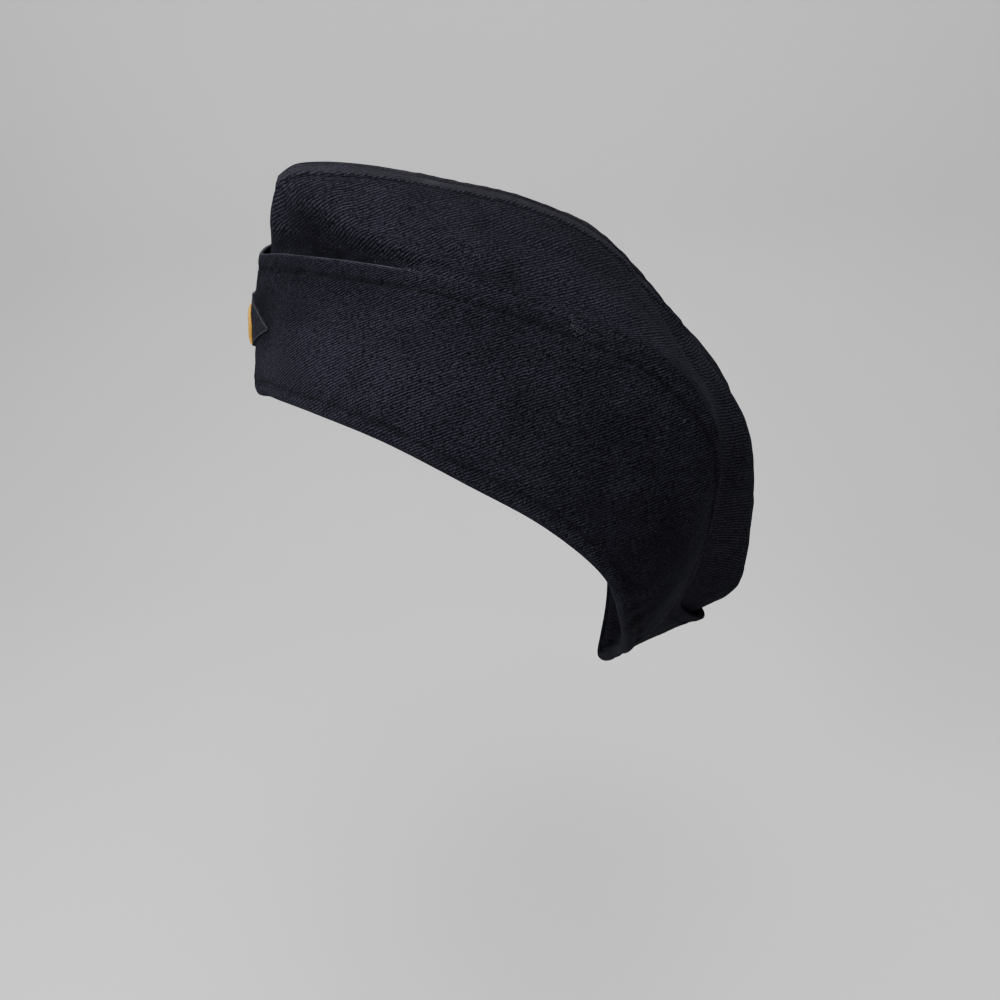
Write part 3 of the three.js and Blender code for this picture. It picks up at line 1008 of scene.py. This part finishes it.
def serge(name, dark, light, relief=0.00018):
    """Twill wool, dark in its grooves and light on its ribs, with a nap of fine fibres over it, and with
    light and shade painted in from each point's painted value.
    """
    g = Graph(name)
    solid = g.node("ShaderNodeTexCoord").outputs["Object"]
    painted_shading = g.node("ShaderNodeAttribute", {"attribute_name": "painted_shading"}).outputs["Fac"]
    twill = weave_height(g, painted_shading)
    # hair is the haze of single fibres, and patchy the slow change of tone that wear leaves.
    hair = g.noise(solid, 2300.0, 3.0, 0.7)
    patchy = g.noise(solid, 45.0, 3.0, 0.6)
    height = g.math("ADD", twill, g.math("MULTIPLY", hair, 0.5))
    bump = g.node("ShaderNodeBump", Strength=1.0, Distance=relief, Height=height).outputs[0]
    tone = g.math("ADD", twill, g.range(hair, 0.3, 0.7, -0.36, 0.52))
    tone = g.math("MULTIPLY", tone, g.range(patchy, 0.3, 0.7, 0.85, 1.15))
    # Painted light and shade: the panels' values darken the cloth in hollows, stitched rows and towards the
    # back, lighten it on crests, the free edge and the bands beside the rim and the ridge, and at the
    # strongest painted highlights mix in a felted and then a pale colour.
    tone = g.math("MULTIPLY", tone, g.range(painted_shading, -0.8, 0.6, 0.2, 1.6), clamp=True)
    colour = g.mix(tone, (*dark, 1), (*light, 1))
    colour = g.mix(g.range(painted_shading, 0.60, 0.72, 0.0, 0.4), colour, FELTED_HIGHLIGHT)
    colour = g.mix(g.range(painted_shading, 0.8, 1.3, 0.0, 0.75), colour, PALE)
    speck = g.range(g.noise(solid, 1700.0, 1.0, 0.5), 0.70, 0.78)
    colour = g.mix(g.math("MULTIPLY", speck, 0.5), colour, SPECK)
    return g.finish(Base_Color=colour, Roughness=g.range(hair, 0.3, 0.7, 0.86, 0.98), Normal=bump,
                    Sheen_Weight=0.01, Sheen_Roughness=0.5, Sheen_Tint=(0.7, 0.75, 1.0, 1),
                    Specular_IOR_Level=0.02)


# %% Wool on the panels
GROOVE, RIB_TOP, SHADED_RIB_TOP = (0.0010, 0.0010, 0.0015), (0.0318, 0.0314, 0.0455), (0.0255, 0.0254, 0.0365)
wool = serge("wool_serge", GROOVE, RIB_TOP)
wool_insert = serge("wool_serge_insert", GROOVE, SHADED_RIB_TOP)
for piece in (*turn_ups.values(), *crowns.values()):
    piece.data.materials.append(wool)
insert.data.materials.append(wool_insert)
print("wool finishes:", wool.name, wool_insert.name)

# %% [markdown]
# ## Stitches
#
# A machine stitch is a short loop of thread that sinks into the cloth at both ends. Hundreds of them placed
# by a loop in Python would do, but Geometry Nodes is made for it. Each row is drawn as a line of points on
# the cloth, with the cloth's normal kept as an attribute. The node tree spaces the stitches along the line,
# turns each along the row and stands it on the normal, and joins them into one mesh.

# %% One stitch
STITCH_PITCH = 2.3
THREAD = 0.52


def stitch_shape(name, length, thread, sides=6, spans=6):
    """One sunken loop of thread along X, with Z out of the cloth, from sizes in mm."""
    points = []
    for i in range(spans + 1):
        share = i / spans
        lift = thread * (0.55 * math.sin(math.pi * share) - 0.35)
        radius = thread / 2 * (0.55 + 0.45 * math.sin(math.pi * share) ** 0.5 if 0 < share < 1 else 0.35)
        for k in range(sides):
            turn = 2 * math.pi * k / sides
            points.append(((share - 0.5) * length, radius * math.cos(turn), lift + radius * math.sin(turn)))
    return closed_piece(name, np.array(points), tube_faces(spans + 1, sides))


seam_stitch = stitch_shape("seam_stitch", STITCH_PITCH * 0.68, THREAD)
print("faces of one stitch:", len(seam_stitch.data.polygons))

# %% Node tree that sets a shape along a row


def row_tree(name, shape, material):
    """A node tree that sets a shape along a line, with its spacing, jitter and seed as inputs."""
    tree = bpy.data.node_groups.new(name, "GeometryNodeTree")
    for label, kind in (("Geometry", "Geometry"), ("Spacing", "Float"), ("Unrest", "Float"), ("Seed", "Int")):
        tree.interface.new_socket(label, in_out="INPUT", socket_type="NodeSocket" + kind)
    tree.interface.new_socket("Geometry", in_out="OUTPUT", socket_type="NodeSocketGeometry")
    new = tree.nodes.new
    start, end = new("NodeGroupInput"), new("NodeGroupOutput")
    line, even = new("GeometryNodeMeshToCurve"), new("GeometryNodeResampleCurve")
    even.mode = "LENGTH"
    # Each stitch's X follows the line, and then its Z turns about that X onto the cloth's normal.
    tangent, normal = new("GeometryNodeInputTangent"), new("GeometryNodeInputNamedAttribute")
    normal.data_type = "FLOAT_VECTOR"
    normal.inputs["Name"].default_value = "stand"
    along = new("FunctionNodeAlignRotationToVector")
    along.axis = "X"
    upright = new("FunctionNodeAlignRotationToVector")
    upright.axis, upright.pivot_axis = "Z", "X"
    # A random turn about its own Z, between minus and plus the unrest, makes each stitch a little different.
    turn, twist = new("FunctionNodeRandomValue"), new("ShaderNodeCombineXYZ")
    turn.data_type = "FLOAT"
    turned = new("FunctionNodeRotateRotation")
    turned.rotation_space = "LOCAL"
    euler = new("FunctionNodeEulerToRotation")
    negative = new("ShaderNodeMath")
    negative.operation = "MULTIPLY"
    negative.inputs[1].default_value = -1
    # The shape is set on every point of the line, made real and painted.
    source = new("GeometryNodeObjectInfo")
    source.inputs["Object"].default_value = shape
    place, real, paint = (new(kind) for kind in (
        "GeometryNodeInstanceOnPoints", "GeometryNodeRealizeInstances", "GeometryNodeSetMaterial"))
    paint.inputs["Material"].default_value = material
    for a, b in (
        (start.outputs["Geometry"], line.inputs[0]),
        (line.outputs[0], even.inputs["Curve"]),
        (start.outputs["Spacing"], even.inputs["Length"]),
        (tangent.outputs[0], along.inputs["Vector"]),
        (along.outputs[0], upright.inputs["Rotation"]),
        (normal.outputs["Attribute"], upright.inputs["Vector"]),
        (start.outputs["Unrest"], negative.inputs[0]),
        (negative.outputs[0], turn.inputs["Min"]),
        (start.outputs["Unrest"], turn.inputs["Max"]),
        (start.outputs["Seed"], turn.inputs["Seed"]),
        (turn.outputs["Value"], twist.inputs["Z"]),
        (twist.outputs[0], euler.inputs[0]),
        (upright.outputs[0], turned.inputs["Rotation"]),
        (euler.outputs[0], turned.inputs["Rotate By"]),
        (even.outputs[0], place.inputs["Points"]),
        (source.outputs["Geometry"], place.inputs["Instance"]),
        (turned.outputs[0], place.inputs["Rotation"]),
        (place.outputs[0], real.inputs[0]),
        (real.outputs[0], paint.inputs["Geometry"]),
        (paint.outputs[0], end.inputs[0]),
    ):
        tree.links.new(a, b)
    return tree


# %% Rows of a shape


def along_rows(name, rows, shape, material, spacing, unrest_angle, seed):
    """Sets a shape along rows of (points, normals) in mm and returns one plain mesh object."""
    points = np.concatenate([row[0] for row in rows])
    normals = np.concatenate([row[1] for row in rows])
    edges, first = [], 0
    for row in rows:
        edges += [(first + i, first + i + 1) for i in range(len(row[0]) - 1)]
        first += len(row[0])
    mesh = bpy.data.meshes.new(name + "_line")
    mesh.from_pydata((points * MM).tolist(), edges, [])
    stand = mesh.attributes.new("stand", "FLOAT_VECTOR", "POINT")
    stand.data.foreach_set("vector", normals.astype(np.float32).ravel())
    holder = add_object(name + "_line", mesh)
    tree = row_tree(name, shape, material)
    modifier = holder.modifiers.new("row", "NODES")
    modifier.node_group = tree
    sockets = {item.name: item.identifier for item in tree.interface.items_tree if item.in_out == "INPUT"}
    modifier[sockets["Spacing"]] = spacing * MM
    modifier[sockets["Unrest"]] = unrest_angle
    modifier[sockets["Seed"]] = seed
    bpy.context.view_layer.update()
    result = bpy.data.meshes.new_from_object(holder.evaluated_get(bpy.context.evaluated_depsgraph_get()))
    result.name = name
    bpy.data.objects.remove(holder)
    piece = add_object(name, result)
    piece.data.shade_smooth()
    print(name, "faces:", len(result.polygons))
    return piece


# %% [markdown]
# ## Thread
#
# Sewing thread is two or three strands twisted together. Modelled strands would be finer than a pixel, so
# slanting bands in the colour and the bump stand for them. It is a touch glossier than the wool, and painted
# near black here, as painted shade for the grooves that the stitches sink into. The embroidery uses thick,
# soft rayon in gold, with the same material in another colour.

# %% Thread materials
STRAND_SCALE = 5200 / 6


def thread_material(name, dark, light, gloss):
    g = Graph(name)
    solid = g.node("ShaderNodeTexCoord").outputs["Object"]
    strands = g.node("ShaderNodeTexWave", {"wave_type": "BANDS", "bands_direction": "DIAGONAL"}, Vector=solid,
                     Scale=STRAND_SCALE, Distortion=2.0, Detail=1.0).outputs["Fac"]
    tone = g.range(g.noise(solid, 900.0, 2.0), 0.3, 0.7)
    colour = g.mix(g.math("MULTIPLY", g.math("ADD", strands, tone), 0.5), (*dark, 1), (*light, 1))
    bump = g.node("ShaderNodeBump", Strength=0.5, Distance=0.00005, Height=strands).outputs[0]
    return g.finish(Base_Color=colour, Roughness=gloss, Normal=bump, Specular_IOR_Level=0.15)


# Painted shade: the sewing thread is near black, darker than the wool, for the grooves its stitches lie in.
sewing_thread_painted_dark = thread_material("sewing_thread_painted_dark", (0.0008, 0.0008, 0.0012), (0.0040, 0.0041, 0.0060), 0.8)
print("thread finish:", sewing_thread_painted_dark.name)

# %% [markdown]
# ## Seam rows of the cap
#
# Four rows of stitches show: below the turn-up's free edge, above its rim, below the ridge, and inside the
# cap where the rim row comes through. The same functions that made the panels say where each row lies, so
# the thread follows every fold. No machine sews quite straight, so the rows drift a little.

# %% Seam rows
ON_CLOTH = 0.02
ROW_POINTS = 700
ROW_LENGTH = 280
STITCH_TURN = 0.12


def row_on_turn_up(side, station, rise):
    length = turn_up_length(station)
    stand = turn_up_form(side, station, rise, length)
    points = raised(turn_up, station, rise / length, stand + ON_CLOTH)
    return on_side(side, points), on_side(side, outward(turn_up, station, rise / length))


def row_on_crown(side, station, below_ridge):
    height = 1 - (1 - LAP) * below_ridge / crown_lengths(station)
    stand = crown_form(side, station, height, below_ridge)
    points = raised(crown, station, height, stand + ON_CLOTH)
    points -= ridge_direction(station) * ridge_drop(station, below_ridge)[..., None]
    return on_side(side, points), on_side(side, outward(crown, station, height))


def inside_row(side, station, rise):
    """The rim row as it comes through on the inner face of the crown."""
    height = rise / turn_up_length(station)
    points = raised(turn_up, station, height, np.full_like(station, -(2 * CLOTH + GAP + 0.05)))
    return on_side(side, points), on_side(side, -outward(turn_up, station, height))


fine = np.linspace(0.006, 0.994, ROW_POINTS)
ridge_span = np.linspace(0.02, 0.985, ROW_POINTS)
drift = 0.22 * ripple(fine * ROW_LENGTH, 14, 60, 5)
rim_rise, ridge_fall = np.full_like(fine, RIM_ROW), np.full_like(fine, RIDGE_ROW)
SEAM_ROWS = {
    "edge_stitches": lambda side: row_on_turn_up(side, fine, turn_up_length(fine) - EDGE_ROW + side * drift),
    "rim_stitches": lambda side: row_on_turn_up(side, fine, rim_rise + side * drift[::-1]),
    "ridge_stitches": lambda side: row_on_crown(side, ridge_span, ridge_fall + side * drift * 0.7),
    "inner_rim_stitches": lambda side: inside_row(side, fine, rim_rise),
}
seams = [
    along_rows(name, [row(1), row(-1)], seam_stitch, sewing_thread_painted_dark, STITCH_PITCH, STITCH_TURN, seed)
    for seed, (name, row) in enumerate(SEAM_ROWS.items(), 1)
]

# %% [markdown]
# ## Badge
#
# The badge is a diamond of dark cloth, sewn on over the front seam, with raised gold embroidery: a padded
# ring and a round centre. The patch could be a flat shape that a Shrinkwrap modifier lays on the cap. Here
# it is a grid of points between the diamond's lower and upper edge, each placed on the front by the same
# function as the folds, so it lies on the cloth everywhere and has a rounded edge.

# %% Badge patch
BADGE = {"rise": 27, "half_width": 27, "up": 12.6, "down": 8.9, "cloth": 0.9, "rolled": 0.9, "clear": 0.15}
RIM_LENGTH, FRONT_HEIGHT = 297, 54.7


def on_front(across, up, clear):
    """A point on the front of the turn-up: across from the seam, up from the rim, clear of the cloth."""
    station = np.abs(across) / RIM_LENGTH
    height = up / FRONT_HEIGHT
    points = raised(turn_up, station, height, clear)
    return np.where((across < 0)[..., None], points * MIRROR, points)


def front_form(across, up):
    station = np.abs(across) / RIM_LENGTH
    length = turn_up_length(station)
    sides = [turn_up_form(side, station, up * length / FRONT_HEIGHT, length) for side in (1, -1)]
    return np.where(across >= 0, *sides) * calm_at_seam(np.abs(across))


def diamond_edge(across):
    """Lower and upper edge of the diamond, whose sides bow out a little."""
    reach = np.sqrt((across / BADGE["half_width"]) ** 2 * 0.99 + 0.001)
    low, high = (np.maximum(1 - reach**bow, 0.012) for bow in (1.15, 1.5))
    return BADGE["rise"] - BADGE["down"] * low, BADGE["rise"] + BADGE["up"] * high


def badge_patch_panel():
    columns, rows = 81, 41
    across = np.linspace(-BADGE["half_width"], BADGE["half_width"], columns)[:, None] * 0.985
    low, high = diamond_edge(across)
    up = low + (high - low) * np.linspace(0, 1, rows)
    across = np.broadcast_to(across, up.shape)
    ground = front_form(across, up)
    reach = np.minimum(up - low, high - up)
    thick = BADGE["cloth"] * (0.25 + 0.75 * rounded(reach / BADGE["rolled"]))
    tips = smooth_step((BADGE["half_width"] - np.abs(across)) / 2)
    spots = across + 1j * up
    stand = ground + BADGE["clear"] + thick * (0.5 + 0.5 * tips) + 0.08 * unrest(spots, 4, 14, 91)
    face, back = on_front(across, up, stand), on_front(across, up, ground - 0.05)
    ring = np.concatenate([face, back[:, ::-1]], axis=1)
    return panel("badge_cloth_patch", 1, ring, np.concatenate([spots, spots[:, ::-1]], axis=1))


patch = badge_patch_panel()
badge_cloth = serge("badge_cloth", (0.0040, 0.0038, 0.0056), (0.0280, 0.0272, 0.0375), 0.00008)
patch.data.materials.append(badge_cloth)
print(patch.name, "faces:", len(patch.data.polygons))

# %% Badge edge stitches
PATCH_STITCH = {"length": 1.5, "thread": 0.30, "pitch": 1.1, "inset": 0.30, "turn": 0.30}


def badge_outline():
    """The outline of the diamond just inside its edge, as (across, up), counter-clockwise."""
    across = np.linspace(-BADGE["half_width"], BADGE["half_width"], 120) * 0.96
    low, high = diamond_edge(across)
    lower = np.stack([across, low + PATCH_STITCH["inset"]], axis=1)
    upper = np.stack([across, high - PATCH_STITCH["inset"]], axis=1)[::-1]
    return np.concatenate([lower, upper, lower[:1]]).T


across, up = badge_outline()
lift = front_form(across, up) + BADGE["clear"] + BADGE["cloth"] * 0.93
outline_points = on_front(across, up, lift)
outline_row = (outline_points, on_front(across, up, lift + 1) - outline_points)
patch_stitch = stitch_shape("patch_stitch", PATCH_STITCH["length"], PATCH_STITCH["thread"])
patch_thread = thread_material("patch_thread", (0.018, 0.018, 0.023), (0.065, 0.066, 0.078), 0.7)
patch_stitches = along_rows("patch_stitches", [outline_row], patch_stitch, patch_thread,
                            PATCH_STITCH["pitch"], PATCH_STITCH["turn"], 6)

# %% [markdown]
# ## Gold embroidery
#
# Raised embroidery is gold thread laid side by side over a felt padding, each thread over it like a hoop. A
# smooth ring with stripes in its material would look cast. So the ring and the centre are built from their
# threads, as tubes, with the padding below them to close the gaps.

# %% Threads as tubes
RING = {"radius": 6.6, "half_width": 1.7, "raise": 1.25, "threads": 150}
CENTRE = {"radius": 3.6, "raise": 1.7, "threads": 26}
GOLD_THREAD = 0.30


def thread_tube(path, normals, radius, sides=6):
    """Rings of points round a path, in mm, for one thread."""
    along = unit(np.gradient(path, axis=0))
    across = unit(np.cross(along, normals))
    out = np.cross(across, along)
    turn = 2 * np.pi * np.arange(sides) / sides
    return (path[:, None] + radius * (np.cos(turn)[:, None] * across[:, None]
                                      + np.sin(turn)[:, None] * out[:, None]))


def join_threads(name, tubes, material):
    """One closed mesh from many thread tubes."""
    points, faces, first = [], [], 0
    for tube in tubes:
        rings, count = tube.shape[:2]
        faces += [[first + i for i in face] for face in tube_faces(rings, count)]
        points.append(tube.reshape(-1, 3))
        first += rings * count
    piece = closed_piece(name, np.concatenate(points), faces, material=material)
    print(name, "threads:", len(tubes), "faces:", len(piece.data.polygons))
    return piece


def front_thread(across, up, raise_by):
    """A thread's path over the padding, with the normals of the cap's front."""
    ground = front_form(across, up) + BADGE["clear"] + BADGE["cloth"]
    points = on_front(across, up, ground + raise_by)
    return points, on_front(across, up, ground + raise_by + 1) - points


# %% Threads of the ring and the centre
CENTRE_LEAN = math.radians(35)


def ring_threads():
    draw = np.random.default_rng(7)
    tubes = []
    for turn in 2 * np.pi * np.arange(RING["threads"]) / RING["threads"]:
        arc = np.linspace(-0.06, 1.06, 11) * np.pi
        turns = turn + draw.normal(0, 0.008) + 0.10 * (np.linspace(0, 1, 11) - 0.5)
        radius = RING["radius"] - (RING["half_width"] - GOLD_THREAD / 2) * np.cos(arc)
        height = (RING["raise"] - GOLD_THREAD / 2) * np.sin(arc) * draw.normal(1, 0.03)
        path, normals = front_thread(radius * np.cos(turns), BADGE["rise"] + radius * np.sin(turns), height)
        tubes.append(thread_tube(path, normals, GOLD_THREAD / 2))
    return tubes


def centre_threads():
    draw = np.random.default_rng(8)
    tubes = []
    for offset in np.linspace(-0.94, 0.94, CENTRE["threads"]):
        half = math.sqrt(1 - offset**2)
        arc = np.linspace(-0.04, 1.04, 13) * np.pi
        x = -half * np.cos(arc) * CENTRE["radius"]
        y = offset * CENTRE["radius"] + draw.normal(0, 0.04) + 0 * arc
        height = (CENTRE["raise"] - GOLD_THREAD / 2) * np.sin(arc) * half**0.7 * draw.normal(1, 0.02)
        across = x * math.cos(CENTRE_LEAN) - y * math.sin(CENTRE_LEAN)
        up = x * math.sin(CENTRE_LEAN) + y * math.cos(CENTRE_LEAN)
        path, normals = front_thread(across, BADGE["rise"] + up, height)
        tubes.append(thread_tube(path, normals, GOLD_THREAD / 2))
    return tubes


gold = thread_material("gold_thread", (0.26, 0.12, 0.012), (0.78, 0.46, 0.07), 0.48)
gold_centre = thread_material("gold_thread_warm", (0.28, 0.10, 0.014), (0.80, 0.40, 0.08), 0.5)
badge_ring = join_threads("badge_ring_threads", ring_threads(), gold)
badge_centre = join_threads("badge_centre_threads", centre_threads(), gold_centre)

# %% Padding below the threads
BELOW_THREADS = GOLD_THREAD * 0.7


def around_badge(radius, turn, height):
    """Rings of points round the middle of the badge."""
    return front_thread(radius * np.cos(turn), BADGE["rise"] + radius * np.sin(turn), height + 0 * turn)[0]


def ring_padding_piece():
    """A closed ring: its last cross-section is joined to its first."""
    arc = np.linspace(0, np.pi, 12)
    turn = (2 * np.pi * np.arange(72) / 72)[:, None]
    radius = RING["radius"] - (RING["half_width"] - BELOW_THREADS) * np.cos(arc)
    rings = around_badge(radius, turn, (RING["raise"] - BELOW_THREADS) * np.sin(arc) - 0.1)
    last, count = (len(turn) - 1) * len(arc), len(arc)
    joint = [[last + i, i, (i + 1) % count, last + (i + 1) % count] for i in range(count)]
    return closed_piece("badge_ring_padding", rings.reshape(-1, 3), grid_faces(len(turn), count) + joint,
                        material=gold)


def centre_padding_piece():
    """A dome with a flat top and foot."""
    lean = np.linspace(0, 0.47 * np.pi, 8)[:, None]
    turn = 2 * np.pi * np.arange(36) / 36
    radius = (CENTRE["radius"] - BELOW_THREADS) * np.cos(lean)
    rings = around_badge(radius, turn, (CENTRE["raise"] - GOLD_THREAD) * np.sin(lean) - 0.1)
    return closed_piece("badge_centre_padding", rings.reshape(-1, 3), tube_faces(len(lean), len(turn)),
                        material=gold_centre)


paddings = [ring_padding_piece(), centre_padding_piece()]
for piece in paddings:
    print(piece.name, "faces:", len(piece.data.polygons))

# %% [markdown]
# ## Fuzz and lint
#
# A worn wool cap has stray fibres, specks of lint and a few frayed ends. A hair system could grow them, but
# hair isn't part of a mesh and wouldn't be exported. So each fibre is a tiny curved tube that stands on the
# cloth. A seeded random generator picks their places.

# %% Fuzz
FUZZ_COUNT = 2600
FUZZ_THREAD = 0.018


def cloth_spot(side, on_crown, station, height):
    """A point of the finished outer face with its normal, for arrays of stations and heights."""
    if on_crown:
        below = (1 - height) / (1 - LAP) * crown_lengths(station)
        stand = crown_form(side, station, height, below)
        surface = crown
    else:
        length = turn_up_length(station)
        stand = turn_up_form(side, station, height * length, length)
        surface = turn_up
    points, normals = raised(surface, station, height, stand), outward(surface, station, height)
    return on_side(side, points), on_side(side, normals)


def fuzz_fibres():
    draw = np.random.default_rng(12)
    tubes = []
    for side in (1, -1):
        for on_crown, share in ((True, 0.45), (False, 0.55)):
            count = round(FUZZ_COUNT * share / 2)
            station = draw.uniform(0.01, 0.99, count)
            height = draw.uniform(0.53, 0.985, count) if on_crown else draw.uniform(0.04, 0.98, count)
            points, normals = cloth_spot(side, on_crown, station, height)
            for point, normal in zip(points, normals):
                lean = draw.normal(0, 1, 3)
                lean -= normal * lean.dot(normal)
                lean /= np.linalg.norm(lean)
                turn = np.cross(normal, lean)
                length, curl = draw.gamma(3.0, 0.32), draw.normal(0, 0.9)
                steps = np.linspace(0, 1, 4)[:, None]
                path = point + length * (lean * steps + turn * curl * 0.4 * steps**2) + normal * (
                    0.45 * length * steps * (1.25 - steps * draw.uniform(0.4, 1.3)) - 0.05)
                tubes.append(thread_tube(path, np.broadcast_to(normal, path.shape), FUZZ_THREAD, 3))
    return tubes


def fibre_material(name, colour):
    g = Graph(name)
    solid = g.node("ShaderNodeTexCoord").outputs["Object"]
    tone = g.range(g.noise(solid, 700.0, 1.0), 0.3, 0.7)
    dark = tuple(0.6 * c for c in colour)
    return g.finish(Base_Color=g.mix(tone, (*dark, 1), (*colour, 1)), Roughness=0.8, Sheen_Weight=0.1,
                    Specular_IOR_Level=0.3)


wool_fibre = fibre_material("wool_fibre", (0.030, 0.031, 0.044))
fuzz = join_threads("fuzz", fuzz_fibres(), wool_fibre)

# %% Lint and frayed ends
# On the crown or not, station, height, number of fibres, and how far they spread and how long they are in mm.
LINT = [
    (False, 0.415, 0.955, 4, 0.6, 3.2),
    (True, 0.317, 0.650, 16, 4.0, 0.6),
    (False, 0.423, 0.965, 22, 5.0, 0.6),
    (False, 0.562, 0.070, 18, 3.5, 0.6),
    (False, 0.542, 0.755, 2, 0.2, 0.6),
    (False, 0.557, 0.850, 2, 0.2, 0.6),
    (False, 0.593, 0.505, 2, 0.2, 0.6),
    (False, 0.257, 0.990, 7, 0.5, 0.8),
    (False, 0.012, 0.74, 12, 4.5, 1.6),
    (False, 0.010, 0.58, 12, 4.0, 1.6),
    (False, 0.020, 0.93, 8, 3.0, 1.2),
]
LINT_THREAD = 0.035


def lint_fibres():
    draw = np.random.default_rng(15)
    tubes = []
    for on_crown, station, height, count, spread, reach in LINT:
        points, normals = cloth_spot(1, on_crown, np.array([station]), np.array([height]))
        normal = normals[0]
        level = np.cross(normal, (0, 0, 1))
        level /= np.linalg.norm(level)
        rise = np.cross(level, normal)
        for _ in range(count):
            start = points[0] + draw.normal(0, spread / 2) * level + draw.normal(0, spread / 2) * rise
            turn, bend = draw.uniform(0, 2 * np.pi), draw.normal(0, 0.5)
            lean = math.cos(turn) * level + math.sin(turn) * rise
            length = reach * draw.uniform(0.5, 1.3)
            steps = np.linspace(0, 1, 5)[:, None]
            path = start + length * (lean * steps + np.cross(normal, lean) * bend * steps**2)
            path = path + normal * (0.12 + 0.5 * steps * (1 - steps) * draw.uniform(0.2, 1.0))
            tubes.append(thread_tube(path, np.broadcast_to(normal, path.shape), LINT_THREAD, 4))
    return tubes


lint_fibre = fibre_material("lint_fibre", (0.085, 0.085, 0.10))
lint = join_threads("lint", lint_fibres(), lint_fibre)

# %% [markdown]
# ## Floor, backdrop and light
#
# The cap is held up as a head holds a hat. The floor is well below it, and turns up into a plain backdrop in
# a wide cove, so no edge shows behind the cap. Dark wool needs light from the side to show its form: a small
# key light at the front left draws the weave and the folds, a wide one above gives the slow change of tone,
# and weaker ones at both sides lift the shade.

# %% Stage
FLOOR = -0.262
BACK_WALL = -0.62
COVE = 0.25
FLOOR_FRONT, WALL_TOP, STAGE_SIDE = 2.5, 2.6, 3.0


def cove():
    """A floor that bends up into a backdrop behind the cap."""
    turn = np.linspace(0, np.pi / 2, 16)
    line = [(FLOOR_FRONT, FLOOR)]
    line += [(BACK_WALL + COVE * (1 - math.sin(t)), FLOOR + COVE * (1 - math.cos(t))) for t in turn]
    line += [(BACK_WALL, WALL_TOP)]
    points = np.array([(x, y, z) for x, z in line for y in (-STAGE_SIDE, STAGE_SIDE)])
    faces = [(2 * i, 2 * i + 1, 2 * i + 3, 2 * i + 2) for i in range(len(line) - 1)]
    return add_object("floor_and_backdrop", mesh_from("floor_and_backdrop", points / MM, faces))


backdrop = cove()
PAPER, PAPER_SHADE = (0.77, 0.77, 0.765, 1), (0.73, 0.73, 0.73, 1)
paper = Graph("pale_paper")
cloud = paper.noise(paper.node("ShaderNodeTexCoord").outputs["Object"], 6.0, 4.0)
backdrop.data.materials.append(paper.finish(Base_Color=paper.mix(cloud, PAPER_SHADE, PAPER), Roughness=0.9))
print("floor at", FLOOR, "m, back wall at", BACK_WALL, "m")

# %% Lights
LIGHTS = [
    {"name": "key", "place": (0.35, -0.30, 0.35), "size": 0.25, "power": 3.3},
    {"name": "top", "place": (0.10, 0.10, 1.50), "size": 1.4, "power": 25},
    {"name": "side", "place": (1.50, 0.30, 0.60), "size": 1.2, "power": 3.5},
    {"name": "far_side", "place": (-1.50, -0.10, 0.70), "size": 1.2, "power": 10},
]
ROOM = {"Color": (0.95, 0.97, 1.0, 1), "Strength": 0.12}


def soft_light(name, place, size, power, towards=(0, 0.03, 0.05)):
    light = bpy.data.lights.new(name, "AREA")
    light.shape, light.size, light.energy = "DISK", size, power
    lamp = bpy.data.objects.new(name, light)
    lamp.visible_camera = False
    lamp.matrix_world = Matrix.Translation(place) @ (
        Vector(towards) - Vector(place)).to_track_quat("-Z", "Y").to_matrix().to_4x4()
    bpy.context.scene.collection.objects.link(lamp)


for row in LIGHTS:
    soft_light(**row)
world = bpy.data.worlds.new("soft_room")
bpy.context.scene.world = world
world.use_nodes = True
for socket, value in ROOM.items():
    world.node_tree.nodes["Background"].inputs[socket].default_value = value
print("lights:", ", ".join(row["name"] for row in LIGHTS))

# %% [markdown]
# ## Joining the frame
#
# Every piece rides on the cap's one body, and the solid that it stands for is hidden. The helper shapes for
# the stitches are removed first.

# %% Join the frame
for helper in (seam_stitch, patch_stitch):
    bpy.data.objects.remove(helper)
for piece, node, slot in (
    (crowns[1], "crown_left", "wool"),
    (crowns[-1], "crown_right", "wool"),
    (insert, "crown_top", "wool_insert"),
    (turn_ups[1], "curtain_left", "wool"),
    (turn_ups[-1], "curtain_right", "wool"),
    (patch, "badge_patch", "badge_cloth"),
    (badge_ring, "badge_ring", "gold_thread"),
    (badge_centre, "badge_boss", "gold_thread"),
    *((seam, None, "wool") for seam in seams),
    (patch_stitches, None, "badge_cloth"),
    *((padding, None, "gold_thread") for padding in paddings),
    (fuzz, None, "wool"),
    (lint, None, "wool"),
):
    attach(piece, "root")
    if node:
        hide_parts(node)
